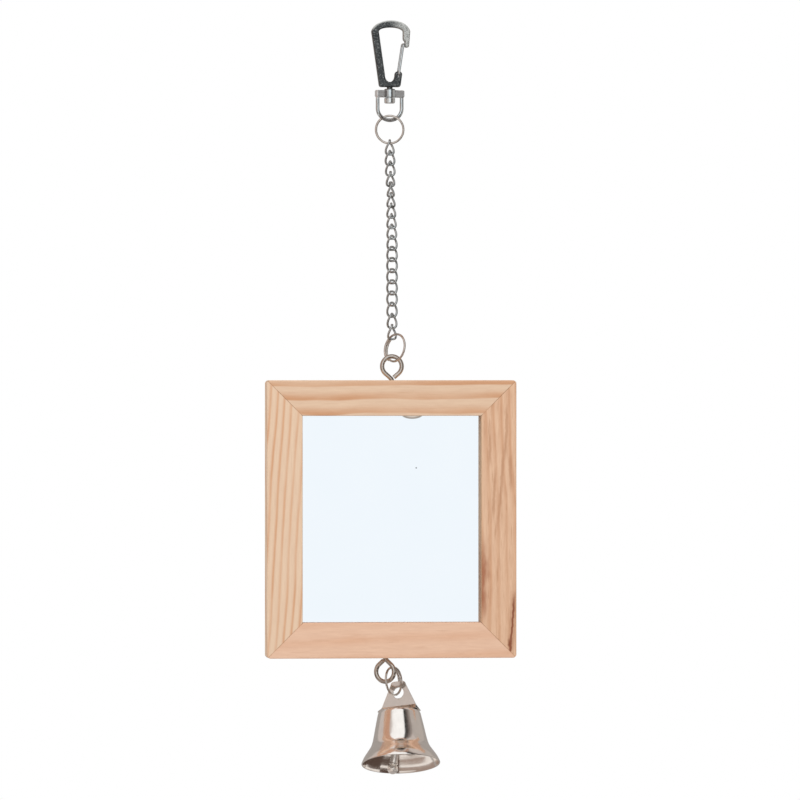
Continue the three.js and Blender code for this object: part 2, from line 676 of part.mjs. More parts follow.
const topEye = add(mirrorFrame, 'top_screw_eye', screwEye(), NICKEL);
topEye.position.set(TOP_EYE_SHIFT, 0, frameHeight / 2 + eyeFoot);
const bottomEye = add(mirrorFrame, 'bottom_screw_eye', screwEye(), NICKEL);
bottomEye.position.set(BOTTOM_EYE_SHIFT, 0, -frameHeight / 2 - eyeFoot);
bottomEye.rotation.set(0, Math.PI, degrees(BOTTOM_EYE_YAW), 'ZYX');

// Bell ring, hung on the bottom eye

const bottomEyeCentre = mirrorFrame.position.clone().add(bottomEye.position);
const bottomEyeTurn = attitude(BOTTOM_EYE_YAW);
const bellRingTurn = attitude(BELL_RING.yaw, BELL_RING.lean);
const bellRingCentre = bottomEyeCentre.clone().add(point(...BELL_RING_SHIFT));
splitRing('bell_split_ring', BELL_RING, bellRingCentre, bellRingTurn);
pivot(
  'bell_split_ring',
  bottomEyeCentre.clone().add(onCircle(eyeRadius, BELL_RING_ON_EYE, bottomEyeTurn)),
  onCircle(1, BELL_RING_ON_EYE + 90, bottomEyeTurn),
);

// Bell: hanger, shell, rivet and clapper

function bellShell() {
  const outer = new THREE.Path();
  outer.moveTo(CROWN_RADIUS - SHOULDER_RADIUS, 0);
  outer.quadraticCurveTo(CROWN_RADIUS, 0, CROWN_RADIUS + 0.2, -SHOULDER_RADIUS);
  outer.lineTo(WAIST_RADIUS, -WAIST_DROP);
  outer.bezierCurveTo(
    WAIST_RADIUS + 0.3, -WAIST_DROP - 2.4,
    MOUTH_RADIUS - 0.9, -BELL_HEIGHT + 3.3,
    MOUTH_RADIUS - 0.2, -BELL_HEIGHT + 0.9,
  );
  outer.lineTo(MOUTH_RADIUS, -BELL_HEIGHT + 0.4);
  const profile = outer.getPoints(8).map(({ x, y }) => [x, y]);
  const hole = RIVET_DIAMETER / 2 + FIT_GAP;
  const inside = profile.map(([r, z]) => [r - BELL_WALL, Math.min(z, -BELL_WALL)]);
  const lip = [[MOUTH_RADIUS - 0.1, -BELL_HEIGHT + 0.1], [MOUTH_RADIUS - BELL_WALL, -BELL_HEIGHT]];
  const section = [[hole, 0], ...profile, ...lip, ...inside.reverse(), [hole, -BELL_WALL], [hole, 0]];
  return turned(section.reverse(), 48);
}

// Sheet folded double: a flat tongue with the hole, its two leaves spread below onto a foot plate.
function bellHanger() {
  const low = SEAT_GAP;
  const foot = HANGER_DEPTH / 2;
  const sheet = HANGER_SHEET;
  const side = polygon([
    [-foot, low],
    [foot, low],
    [sheet, HANGER_FOLD],
    [sheet, HANGER_HEIGHT],
    [-sheet, HANGER_HEIGHT],
    [-sheet, HANGER_FOLD],
  ]);
  const hollow = foot - 1.6 * sheet;
  side.holes.push(polygon([[-hollow, low + sheet], [hollow, low + sheet], [0, HANGER_FOLD - sheet]]));
  const fold = slab(side, HANGER_BASE).rotateZ(Math.PI / 2);
  const inset = HANGER_TOP / 2 - HANGER_CORNER;
  const rise = HANGER_HEIGHT - HANGER_CORNER;
  const front = new THREE.Shape();
  front.moveTo(-HANGER_BASE / 2, low);
  front.lineTo(HANGER_BASE / 2, low);
  front.absarc(inset, rise, HANGER_CORNER, 0, Math.PI / 2, false);
  front.absarc(-inset, rise, HANGER_CORNER, Math.PI / 2, Math.PI, false);
  front.closePath();
  const hole = rod(HANGER_HOLE / 2, -HANGER_DEPTH, HANGER_DEPTH, 24)
    .rotateX(Math.PI / 2)
    .translate(0, 0, HANGER_HOLE_HEIGHT);
  const rivetHole = rod(RIVET_DIAMETER / 2 + FIT_GAP, -1, 2 * sheet, 16);
  return cut(common(fold, slab(front, 2 * HANGER_DEPTH)), hole, rivetHole);
}

// The rivet's eye is turned across the bell, so that the clapper swings from side to side.
const rivetEye = -BELL_WALL - SEAT_GAP - LOOP_DIAMETER / 2;
const clapperPivotDrop = rivetEye - LOOP_DIAMETER / 2 + LOOP_WIRE / 2;

function clapperRivet() {
  const radius = RIVET_DIAMETER / 2;
  const headLow = 2 * SEAT_GAP + HANGER_SHEET;
  const shank = turned([
    [0, rivetEye + LOOP_DIAMETER / 2 - LOOP_WIRE],
    [radius, rivetEye + LOOP_DIAMETER / 2 - LOOP_WIRE / 2],
    [radius, headLow],
    [RIVET_HEAD / 2, headLow],
    [RIVET_HEAD / 2 - 0.3, headLow + RIVET_HEAD_HEIGHT],
    [0, headLow + RIVET_HEAD_HEIGHT],
  ], 16);
  const eye = loop(LOOP_DIAMETER, LOOP_WIRE).rotateZ(Math.PI / 2).translate(0, 0, rivetEye);
  return joined(shank, eye);
}

// Clapper about its pivot, which is the middle of the rivet eye's lowest wire.
function bellClapper() {
  const loopMiddle = LOOP_WIRE + CONTACT_GAP - LOOP_DIAMETER / 2 + LOOP_WIRE / 2;
  const rodTop = loopMiddle - LOOP_DIAMETER / 2 + LOOP_WIRE;
  const ball = CLAPPER_BALL / 2;
  const neck = -CLAPPER_LENGTH + ball * 0.85;
  const profile = [[0, -CLAPPER_LENGTH - ball]];
  for (let angle = -70; angle <= 50; angle += 20) {
    const a = degrees(angle);
    profile.push([ball * Math.cos(a), -CLAPPER_LENGTH + ball * Math.sin(a)]);
  }
  profile.push(
    [CLAPPER_ROD / 2 + 0.25, neck],
    [CLAPPER_ROD / 2 + 0.25, neck + 0.5],
    [CLAPPER_ROD / 2, neck + 0.8],
    [CLAPPER_TOP / 2, rodTop - LOOP_WIRE / 2],
    [0, rodTop - LOOP_WIRE * 0.4],
  );
  return joined(turned(profile, 20), loop(LOOP_DIAMETER, LOOP_WIRE).translate(0, 0, loopMiddle));
}

const bell = new THREE.Group();
bell.quaternion.copy(attitude(0, BELL_TILT)).multiply(attitude(BELL_YAW));
const wireAtHole = bellRingCentre.clone().add(atRing(BELL_RING, BELL_RING.below, bellRingTurn));
const hangHeight = HANGER_HOLE_HEIGHT + HANGER_HOLE / 2 - RING_WIRE / 2 - BELL_RING_PLAY;
bell.position.copy(wireAtHole).sub(point(0, 0, hangHeight).applyQuaternion(bell.quaternion));
assembly.add(bell);
add(bell, 'bell_hanger', bellHanger(), NICKEL);
add(bell, 'bell_shell', bellShell(), NICKEL);
add(bell, 'clapper_rivet', clapperRivet(), NICKEL);
pivot('bell', wireAtHole, onCircle(1, BELL_RING.below + 90, bellRingTurn));

const clapper = add(assembly, 'clapper', bellClapper(), NICKEL);
clapper.position.copy(point(0, 0, clapperPivotDrop).applyQuaternion(bell.quaternion).add(bell.position));
clapper.quaternion.setFromAxisAngle(FRONT, degrees(CLAPPER_LEAN));
pivot('clapper', clapper.position, FRONT);

export { pivots };
export default assembly;
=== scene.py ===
# %% [markdown]
# # A cage mirror with a bell
# This toy hangs in a bird's cage: a snap hook with a swivel, a split ring, a curb chain, a mirror in
# a mitred pine frame, and a nickelled bell below it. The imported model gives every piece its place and
# its joints. The script builds the looks around it, one piece and one finish at a time.

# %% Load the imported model
import math

import bmesh
import bpy
from mathutils import Euler, Matrix, Vector
from mathutils.geometry import interpolate_bezier


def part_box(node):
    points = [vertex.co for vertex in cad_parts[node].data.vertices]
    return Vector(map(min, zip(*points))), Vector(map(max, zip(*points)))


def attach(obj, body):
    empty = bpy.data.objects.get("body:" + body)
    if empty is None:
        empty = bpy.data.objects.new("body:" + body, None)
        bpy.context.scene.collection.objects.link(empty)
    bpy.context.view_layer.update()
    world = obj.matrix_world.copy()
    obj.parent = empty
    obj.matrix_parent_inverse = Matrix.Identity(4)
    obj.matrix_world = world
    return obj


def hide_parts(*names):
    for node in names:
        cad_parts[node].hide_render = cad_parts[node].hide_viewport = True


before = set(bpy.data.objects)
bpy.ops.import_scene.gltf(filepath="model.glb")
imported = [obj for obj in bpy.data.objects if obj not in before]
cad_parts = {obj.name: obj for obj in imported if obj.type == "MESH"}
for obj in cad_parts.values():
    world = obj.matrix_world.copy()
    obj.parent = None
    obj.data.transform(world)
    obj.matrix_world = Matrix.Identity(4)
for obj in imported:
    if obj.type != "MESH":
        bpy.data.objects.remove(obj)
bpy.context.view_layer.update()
scene = bpy.context.scene
MM, DEGREE = 0.001, math.radians(1.0)

# %% [markdown]
# ## Camera
# The picture was taken from far off with a long lens, level with the toy and a little from the left, so
# the right inner wall of the frame just shows and the top one does not. A camera could be placed by eye,
# but azimuth, elevation and distance about one target can be compared with the picture one by one.

# %% Camera
CAMERA_AZIMUTH, CAMERA_ELEVATION, CAMERA_DISTANCE = -6.0, 0.3, 3.0
CAMERA_LENS, CLIP_END = 342.3, 40.0
CAMERA_TARGET = Vector((3.7, 0.0, -146.85)) * MM


def new_object(name, data):
    item = bpy.data.objects.new(name, data)
    scene.collection.objects.link(item)
    return item


def direction(azimuth, elevation):
    """Unit vector towards an azimuth (0 is the front, -Y) and an elevation, in degrees."""
    a, e = math.radians(azimuth), math.radians(elevation)
    return Vector((math.sin(a) * math.cos(e), -math.cos(a) * math.cos(e), math.sin(e)))


def aim(item, azimuth, elevation, distance):
    """Puts an object so far off the target in a direction, looking back at it."""
    back = direction(azimuth, elevation)
    item.location = CAMERA_TARGET + back * distance
    item.rotation_euler = (-back).to_track_quat("-Z", "Y").to_euler()


camera = new_object("camera", bpy.data.cameras.new("camera"))
camera.data.lens = CAMERA_LENS
camera.data.clip_end = CLIP_END
aim(camera, CAMERA_AZIMUTH, CAMERA_ELEVATION, CAMERA_DISTANCE)
scene.camera = camera
scene.view_settings.view_transform = "Standard"
print("camera at", camera.location)

# %% [markdown]
# ## Node helpers
# Materials, the world and Geometry Nodes are all node trees. Wiring Math nodes one by one hides the sum
# that they stand for, so a Value wraps a node's output, and plain arithmetic with it adds the nodes.

# %% Node helpers


def add_node(tree, kind, inputs=None, **settings):
    """New node; inputs maps a socket's name or number to a constant or to a Value."""
    item = tree.nodes.new(kind)
    for key, setting in settings.items():
        setattr(item, key, setting)
    for key, given in (inputs or {}).items():
        socket = item.inputs[key]
        if isinstance(given, Value):
            tree.links.new(given.socket, socket)
        elif socket.type == "RGBA":
            socket.default_value = (*given, 1.0)
        else:
            socket.default_value = given
    return item


def value(tree, kind, inputs=None, output=0, **settings):
    """One output of a new node, ready for arithmetic."""
    return Value(tree, add_node(tree, kind, inputs, **settings).outputs[output])


def combine(tree, x, y, z):
    return value(tree, "ShaderNodeCombineXYZ", {0: x, 1: y, 2: z})


class Value:
    """A node's output. Arithmetic with it adds Math nodes to its tree."""

    def __init__(self, tree, socket):
        self.tree, self.socket = tree, socket

    def math(self, operation, *others, clamp=False):
        inputs = dict(enumerate((self, *others)))
        return value(self.tree, "ShaderNodeMath", inputs, operation=operation, use_clamp=clamp)

    def __add__(self, other):
        return self.math("ADD", other)

    def __sub__(self, other):
        return self.math("SUBTRACT", other)

    def __mul__(self, other):
        return self.math("MULTIPLY", other)

    def __truediv__(self, other):
        return self.math("DIVIDE", other)

    def __abs__(self):
        return self.math("ABSOLUTE")

    def power(self, exponent):
        """Power of the size, with the sign kept."""
        return abs(self).math("POWER", exponent) * self.math("SIGN")

    def sin(self):
        return self.math("SINE")

    def cos(self):
        return self.math("COSINE")

    def length_with(self, other):
        return (self * self + other * other).math("SQRT")

    def between(self, low, high, to_low=0.0, to_high=1.0):
        """Mapped smoothly from low..high to another range, and clamped."""
        return value(self.tree, "ShaderNodeMapRange", {0: self, 1: low, 2: high, 3: to_low, 4: to_high},
                     interpolation_type="SMOOTHSTEP")

    def ramp(self, *stops):
        """Colour ramp between two (position, colour) stops."""
        item = add_node(self.tree, "ShaderNodeValToRGB", {0: self})
        for edge, (position, colour) in zip(item.color_ramp.elements, stops):
            edge.position, edge.color = position, (*colour, 1.0)
        return Value(self.tree, item.outputs[0])


class Paint:
    """A material with a Principled shader and short ways to add nodes to it."""

    def __init__(self, name, **settings):
        self.material = bpy.data.materials.new(name)
        self.material.use_nodes = True
        self.tree = self.material.node_tree
        self.shader = self.tree.nodes["Principled BSDF"]
        for key, setting in settings.items():
            self.shader.inputs[key.replace("_", " ").title()].default_value = setting
        self.place = value(self.tree, "ShaderNodeTexCoord", output="Object")

    def split(self):
        """X, Y and Z of the object's own coordinates, in metres."""
        item = add_node(self.tree, "ShaderNodeSeparateXYZ", {0: self.place})
        return [Value(self.tree, socket) for socket in item.outputs]

    def noise(self, scale, vector=None, detail=2.0, roughness=0.5):
        return value(self.tree, "ShaderNodeTexNoise", {"Vector": vector or self.place, "Scale": scale,
                                                       "Detail": detail, "Roughness": roughness})

    def mix(self, factor, first, second, blend="MIX"):
        return value(self.tree, "ShaderNodeMix", {0: factor, 6: first, 7: second}, output=2,
                     data_type="RGBA", blend_type=blend)

    def link(self, source, name):
        self.tree.links.new(source.socket, self.shader.inputs[name])

    def bump(self, height, strength, distance):
        inputs = {"Height": height, "Strength": strength, "Distance": distance}
        self.link(value(self.tree, "ShaderNodeBump", inputs), "Normal")


print("node helpers ready")

# %% [markdown]
# ## World and lamps
# The toy was photographed on plain white. A bright world alone would bleach the wood, so the white is
# shown only to camera, glossy and transmission rays, and diffuse surfaces get a softer light, with one
# large lamp from the upper left and a weaker one from the right.

# %% World and lamps
SOFT_LIGHT, SOFT_TINT, WHITE = 0.72, (1.0, 0.985, 0.97), (1.0, 1.0, 1.0)
LAMPS = {  # watts, size, azimuth, elevation, distance
    "key_lamp": (6.5, 0.9, -35, 40, 1.2),
    "fill_lamp": (2.4, 0.9, 55, 15, 1.3),
}
world = bpy.data.worlds.new("white_studio")
world.use_nodes = True
scene.world = world
sky = world.node_tree
sky.nodes.clear()
rays = add_node(sky, "ShaderNodeLightPath").outputs
shown = Value(sky, rays["Is Camera Ray"])
for kind in ("Is Glossy Ray", "Is Transmission Ray"):
    shown = shown.math("ADD", Value(sky, rays[kind]), clamp=True)
soft = value(sky, "ShaderNodeBackground", {"Color": SOFT_TINT, "Strength": SOFT_LIGHT})
white = value(sky, "ShaderNodeBackground", {"Color": WHITE})
both = value(sky, "ShaderNodeMixShader", {0: shown, 1: soft, 2: white})
add_node(sky, "ShaderNodeOutputWorld", {"Surface": both})

for name, (watts, size, *spot) in LAMPS.items():
    lamp = new_object(name, bpy.data.lights.new(name, "AREA"))
    lamp.data.energy, lamp.data.size = watts, size
    aim(lamp, *spot)
    lamp.visible_glossy = False
print("world and", len(LAMPS), "lamps")

# %% [markdown]
# ## Floor and cards
# Bright metal shows the room, so a plain white room would make it vanish. Photographers put dark and
# tinted cards round such a piece. Here they are patches of a sphere that only glossy rays see: a warm
# grey room with one white window left open in front, a dark bar beside it and a terracotta one. Below
# the toy the room is brown, with a few bright streaks before it that show inside the bell.

# %% Floor and cards
FLOOR_LEVEL, FLOOR_REACH, FLOOR_COLOUR = -1.2, 12.0, (0.92, 0.92, 0.92)
ROOM_RADIUS, STREAK_RADIUS, CARD_STEPS = 0.9, 0.873, (36, 8)
WARM_GREY = (0.465, 0.42, 0.39)
PALE_GREY = (0.56, 0.50, 0.47)
BACK_GREY = (0.38, 0.35, 0.33)
DARK = (0.02, 0.018, 0.016)
DIM = (0.07, 0.06, 0.055)
DUSK = (0.17, 0.14, 0.13)
HALF_GREY = (0.30, 0.26, 0.24)
TERRACOTTA = (0.54, 0.31, 0.21)
BRICK = (0.42, 0.22, 0.14)
CLAY = (0.46, 0.30, 0.23)
BROWN = (0.09, 0.06, 0.048)
UMBER = (0.34, 0.26, 0.22)
GLINT = (0.85, 0.80, 0.76)
SKYLIGHT = (0.60, 0.55, 0.51)
CARDS = {  # from and to azimuth, from and to elevation, colour
    "zenith": ((-180, 180), (80, 90), DARK),
    "skylight": ((-85, 85), (77, 80), SKYLIGHT),
    "ceiling": ((-85, 85), (72, 77), BRICK),
    "loft": ((85, 275), (72, 80), WARM_GREY),
    "dark": ((25, 37), (-12, 72), DARK),
    "dim": ((37, 47), (-12, 72), DIM),
    "dusk": ((47, 57), (-12, 72), DUSK),
    "half": ((57, 68), (-12, 72), HALF_GREY),
    "right": ((68, 130), (-12, 40), WARM_GREY),
    "upper_right": ((68, 130), (40, 72), PALE_GREY),
    "back": ((130, 230), (-60, 38), BACK_GREY),
    "clay": ((130, 230), (38, 72), CLAY),
    "left": ((-130, -100), (-12, 72), PALE_GREY),
    "terracotta": ((-100, -69), (-12, 72), TERRACOTTA),
    "tongue": ((-69, -25), (-12, 42), PALE_GREY),
    "brown": ((0, 130), (-60, -12), BROWN),
    "umber": ((-130, 0), (-60, -12), UMBER),
    "nadir": ((-180, 180), (-90, -60), DUSK),
}
STREAK_CARDS = {
    "gleam": ((60, 130), (-27, -19), GLINT),
    "spark": ((32, 62), (-40, -30), GLINT),
    "pale": ((-50, 0), (-24, -12), GLINT),
    "shade": ((-130, -50), (-20, -14), DUSK),
    "glint": ((-130, 0), (-44, -34), GLINT),
}


def card(name, reach, azimuths, elevations, colour):
    """Patch of a sphere round the toy, seen by glossy rays alone, glowing in one colour."""
    across, up = CARD_STEPS
    corners, faces = [], []
    for i in range(across + 1):
        for j in range(up + 1):
            azimuth = azimuths[0] + (azimuths[1] - azimuths[0]) * i / across
            elevation = elevations[0] + (elevations[1] - elevations[0]) * j / up
            if i < across and j < up:
                k = len(corners)
                faces.append((k, k + 1, k + up + 2, k + up + 1))
            corners.append(CAMERA_TARGET + direction(azimuth, elevation) * reach)
    mesh = bpy.data.meshes.new(name)
    mesh.from_pydata(corners, [], faces)
    glow = bpy.data.materials.new(name)
    glow.use_nodes = True
    glow.node_tree.nodes.clear()
    light = value(glow.node_tree, "ShaderNodeEmission", {"Color": colour})
    add_node(glow.node_tree, "ShaderNodeOutputMaterial", {"Surface": light})
    mesh.materials.append(glow)
    item = new_object(name, mesh)
    item.visible_camera = item.visible_diffuse = item.visible_shadow = False
    item.visible_transmission = item.visible_volume_scatter = False


for cards, reach in ((CARDS, ROOM_RADIUS), (STREAK_CARDS, STREAK_RADIUS)):
    for name, patch in cards.items():
        card(f"{name}_card", reach, *patch)

floor_mesh = bpy.data.meshes.new("floor")
floor_mesh.from_pydata([(x * FLOOR_REACH, y * FLOOR_REACH, FLOOR_LEVEL)
                        for x, y in ((-1, -1), (1, -1), (1, 1), (-1, 1))], [], [(0, 1, 2, 3)])
floor_paint = Paint("pale_floor", base_color=(*FLOOR_COLOUR, 1.0), roughness=0.9)
floor_mesh.materials.append(floor_paint.material)
floor = new_object("floor", floor_mesh)
print(len(CARDS) + len(STREAK_CARDS), "cards and a floor at", FLOOR_LEVEL)

# %% [markdown]
# ## Finishes in metal
# Plated wire and castings differ less in colour than in how even they are. One recipe serves them all: a
# metallic shader whose tint drifts over some millimetres, with a fine grain in roughness and bump.
# The hook's casting is darker, with bright pinholes; it turns paler towards its nose, and the top edge of its
# crown carries a painted highlight.

# %% Metal recipe
TINT_SCALE, GRAIN_SCALE, GRAIN_DEPTH = 420.0, 2600.0, 0.02 * MM


def plated(name, colour, roughness, drift=0.12, grain=0.05, bump=0.08, metallic=1.0):
    """Plated metal: tint that drifts, fine grain in roughness and bump."""
    paint = Paint(name, metallic=metallic)
    dull = [c * (1.0 - drift) for c in colour]
    bright = [min(1.0, c * (1.0 + drift)) for c in colour]
    tone = paint.noise(TINT_SCALE, detail=3.0)
    paint.link(tone.ramp((0.3, dull), (0.7, bright)), "Base Color")
    fine = paint.noise(GRAIN_SCALE)
    paint.link(fine.between(0.25, 0.75, roughness - grain, roughness + grain), "Roughness")
    paint.bump(fine, bump, GRAIN_DEPTH)
    return paint


chain_metal = plated("zinc_chain", (0.53, 0.57, 0.58), 0.18, drift=0.25, grain=0.06)
ring_metal = plated("nickel_wire", (0.68, 0.64, 0.60), 0.16)
eye_metal = plated("eye_wire", (0.56, 0.51, 0.46), 0.14)
bell_metal = plated("nickel_plate", (0.93, 0.89, 0.85), 0.14, drift=0.03, grain=0.03, bump=0.05)
clapper_metal = plated("clapper_nickel", (1.0, 0.92, 0.86), 0.22, drift=0.04, metallic=0.6)
gate_metal = plated("gate_nickel", (0.74, 0.82, 0.86), 0.18)
steel = plated("bare_steel", (0.45, 0.46, 0.47), 0.35, drift=0.2, grain=0.08)
print("seven plated finishes made")

# %% Castings of the hook and the bail
CROWN_REACH, CROWN_FOOT, CROWN_RISE = 7.9 * MM, -1.6 * MM, 4.4 * MM
STEM_X = -0.4


def dark_casting():
    """Dark chrome on a casting: bright pinholes, a painted highlight along the top edge of the crown, a paler
    nose and a polished head.
    """
    paint = Paint("dark_casting")
    x, _, z = paint.split()
    pins = paint.noise(3300.0, detail=1.0)
    tone = paint.noise(700.0, detail=3.0).ramp((0.3, (0.035, 0.040, 0.043)), (0.7, (0.085, 0.092, 0.095)))
    colour = paint.mix(pins.between(0.57, 0.70), tone, (0.42, 0.45, 0.45))
    # Paler patch towards the nose, above the horn, with a ragged edge.
    ragged = paint.noise(500.0) * (4.0 * MM) + x
    paler_towards_nose = ragged.between(1.5 * MM, 7.0 * MM) * z.between(-12.0 * MM, -9.0 * MM)
    pale = pins.ramp((0.35, (0.26, 0.27, 0.26)), (0.65, (0.80, 0.82, 0.80)))
    colour = paint.mix(paler_towards_nose, colour, pale)
    from_middle = (x / CROWN_REACH).length_with((z - CROWN_FOOT) / CROWN_RISE)
    # Painted highlight: the top edge of the crown is made pale and barely metallic, so it reads light under
    # the lamps.
    crown_highlight = from_middle.between(0.82, 0.97, 0.0, 0.95) * z.between(CROWN_FOOT, 0.0)
    colour = paint.mix(crown_highlight, colour, (0.62, 0.64, 0.62))
    polished = z.between(-24.5 * MM, -23.9 * MM, 1.0, 0.0)
    paint.link(paint.mix(polished, colour, (0.78, 0.82, 0.83)), "Base Color")
    paint.link(crown_highlight * -0.8 + 1.0, "Metallic")
    paint.link(polished * -0.2 + pins.between(0.3, 0.7, 0.26, 0.46), "Roughness")
    paint.bump(pins, 0.35, 0.05 * MM)
    return paint


def bail_casting():
    """Nickel on a casting: bright on the drum and the bow; the flat bar between them is rougher, and tinted
    paler as a painted highlight.
    """
    paint = plated("cast_nickel", (0.66, 0.73, 0.76), 0.17, drift=0.10)
    x, _, z = paint.split()
    off_axis = abs(x - STEM_X * MM)
    satin_and_highlight = z.between(-28.3 * MM, -27.9 * MM) * off_axis.between(2.1 * MM, 2.4 * MM)
    tint = Value(paint.tree, paint.shader.inputs["Base Color"].links[0].from_socket)
    # Painted highlight: the flat bar's paler tint stands in for a bright reflection; its higher roughness is
    # a real finish.
    paint.link(paint.mix(satin_and_highlight, tint, (0.88, 0.94, 0.97)), "Base Color")
    paint.link(satin_and_highlight * 0.33 + paint.noise(1500.0).between(0.25, 0.75, 0.12, 0.22), "Roughness")
    return paint


hook_metal, bail_metal = dark_casting(), bail_casting()
print("two casting finishes made")

# %% [markdown]
# ## Pine
# Each rail was cut from another stick, so each shows its own figure. An image of wood would repeat and
# could not turn the corner onto the sides. Here a growth ring is a saw tooth across the rail: pale
# earlywood that darkens slowly and ends at once. The rings lean, wander with a slow noise, fade here and
# there, and carry fine fibres along the grain.

# %% Pine recipe


def linear(r, g, b):
    """Colour that a screen shows with these 0 to 255 numbers, as linear light."""
    return [(v / 255 / 12.92) if v < 10 else ((v / 255 + 0.055) / 1.055) ** 2.4 for v in (r, g, b)]


class Wood(Paint):
    """Pine that grew along Z (upright) or X. All its sizes are in millimetres."""

    def __init__(self, name, upright, phase):
        super().__init__(name)
        self.x, self.y, self.z = (v / MM for v in self.split())
        self.across, self.along = (self.x, self.z) if upright else (self.z, self.x)
        self.phase = phase

    def figure(self, across, along, shift=0.0, **how):
        """Noise with so many waves per millimetre across and along the grain."""
        onward = self.along * along + (self.phase + shift)
        return self.noise(1.0, combine(self.tree, self.across * across, self.y * across, onward), **how)

    def rings(self, width, wander, lean, profile, start=0.0):
        """Share of latewood. A negative width turns the saw tooth over."""
        level = self.along * math.tan(math.radians(lean)) + self.across
        level = (self.figure(0.04, 0.02) - 0.5) * (2.0 * wander) + level
        level = self.y * 0.22 + level
        turn = (level * (1.0 / width) + (100.0 + start)).math("FRACT")
        soft, low, full = profile
        fade = self.figure(0.12, 0.03, 3.0).between(0.3, 0.7, 0.5, 1.0)
        return turn.between(low, full) * turn.between(1.0 - soft, 1.0, 1.0, 0.0) * fade

    def timber(self, early, late, rings, fibre, flecks):
        """Colour of the wood, from two screen colours; sets roughness and bump too."""
        early, late = linear(*early), linear(*late)
        fibres = self.figure(1.7, 0.13, detail=4.0, roughness=0.7)
        dark_fibre = (1.0 - fibre * 0.6, 1.0 - fibre, 1.0 - fibre * 1.2)
        shade = fibres.ramp((0.3, dark_fibre), (0.7, (1.0 + fibre * 0.3,) * 3))
        colour = self.mix(1.0, self.mix(rings, early, late), shade, "MULTIPLY")
        fleck = self.figure(1.3, 0.1, 7.0).between(0.58, 0.76) * flecks
        self.link(fibres.between(0.2, 0.8, 0.52, 0.68), "Roughness")
        self.bump(rings * 0.6 + fibres, 0.3, 0.06 * MM)
        return self.mix(fleck, colour, [c * 0.85 for c in late])


PINE = {  # upright, phase, rings, their strength, early and late colour, fibres, flecks
    "left": (True, 0.0, (3.0, 1.3, -4.0, (0.3, 0.35, 0.8)), 1.0,
             (229, 200, 172), (212, 158, 118), 0.08, 0.1),
    "top": (False, 3.3, (-5.6, 3.0, 0.0, (0.12, 0.2, 0.9), 0.39), 1.0,
            (225, 195, 167), (206, 154, 115), 0.09, 0.2),
    "bottom": (False, 1.7, (7.5, 3.0, -2.0, (0.4, 0.2, 0.7)), 0.5,
               (231, 193, 166), (215, 161, 124), 0.10, 0.25),
}
rail_finish = {}
for side, (upright, phase, form, strength, early, late, fibre, flecks) in PINE.items():
    stick = Wood(f"pine_{side}", upright, phase)
    stick.link(stick.timber(early, late, stick.rings(*form) * strength, fibre, flecks), "Base Color")
    rail_finish[side] = stick
print(len(rail_finish), "rails' pine made")

# %% [markdown]
# The right rail is heartwood: browner, streaky, stained along the glass and with a dark resin pocket near its
# foot. A streak is a narrow band about a line, ragged and faded out at both ends. The stain soaks outwards
# from the glass, further in some places than in others, and the inner wall beside the glass gets painted
# shade.

# %% Heartwood rail
RESIN, BROWN_STREAK, STAIN = linear(140, 80, 50), linear(176, 122, 86), linear(164, 100, 68)
SHADOW = linear(190, 162, 130)
WALL, SOAK = 35.1, 5.2
STREAKS = (  # colour, strength, then foot, slope, half width, lower and upper end, raggedness
    (BROWN_STREAK, 0.5, 38.3, 0.03, 0.8, -174.0, -158.0, 0.9),
    (BROWN_STREAK, 0.5, 41.3, 0.08, 0.9, -202.0, -160.0, 0.9),
    (BROWN_STREAK, 0.5, 47.0, -0.03, 0.9, -184.0, -166.0, 0.9),
    (BROWN_STREAK, 0.5, 44.8, 0.02, 0.8, -172.0, -146.0, 0.9),
    (BROWN_STREAK, 0.5, 39.6, 0.05, 0.8, -196.0, -172.0, 0.9),
    (BROWN_STREAK, 0.5, 46.6, 0.07, 2.2, -249.0, -217.0, 1.2),
    (RESIN, 1.0, 46.6, 0.07, 0.65, -247.0, -221.0, 1.2),
    (RESIN, 1.0, 46.7, 0.0, 1.1, -248.0, -240.0, 1.8),
)
heart = Wood("pine_heart", True, 5.1)
rings = heart.rings(3.4, 2.4, 2.0, (0.3, 0.15, 0.8)) * 0.7
wood = heart.timber((225, 188, 157), (199, 145, 107), rings, 0.17, 0.55)


def stretch(low, high, share):
    """Mask that fades in above one height and out below another."""
    fade = (high - low) * share
    return heart.z.between(low, low + fade) * heart.z.between(high - fade, high, 1.0, 0.0)


def streak(foot, slope, half_width, low, high, ragged):
    """Mask of a streak that starts at an X and leans, between two heights."""
    line = heart.z * slope + (foot - low * slope)
    wild = heart.figure(0.25, 0.4, 11.0, detail=4.0) - 0.5
    off = abs(wild * ragged + (heart.x - line))
    return off.between(half_width * 0.2, half_width, 1.0, 0.0) * stretch(low, high, 0.3)


soaked = (heart.figure(0.35, 0.09, 2.0, detail=4.0) - 0.5) * 2.0 + (heart.x - WALL) / SOAK
wood = heart.mix(soaked.between(-0.1, 0.9, 0.95, 0.0) * stretch(-238.0, -198.0, 0.35), wood, STAIN)
for colour, strength, *form in STREAKS:
    wood = heart.mix(streak(*form) * strength, wood, colour)
# Painted shade: the rail's inner wall beside the glass, which the lamps hardly reach, is darkened with
# SHADOW.
wood = heart.mix(heart.x.between(WALL + 0.05, WALL + 0.5, 0.6, 0.0), wood, SHADOW)
heart.link(wood, "Base Color")
rail_finish["right"] = heart
print("heartwood rail made with", len(STREAKS), "streaks")

# %% [markdown]
# ## Mirror and board
# The glass is silvered on its back, and at this distance it reads as one bright cool surface. A coated
# pane of real glass would need two surfaces and a longer render, so a metallic shader with the silver's
# tint does it, a little smeared by fingers. Its edge has one shallow chip under the top rail, dull at the
# rim, and the silver has a pinhole. The board behind is brown hardboard, fibrous and matt.

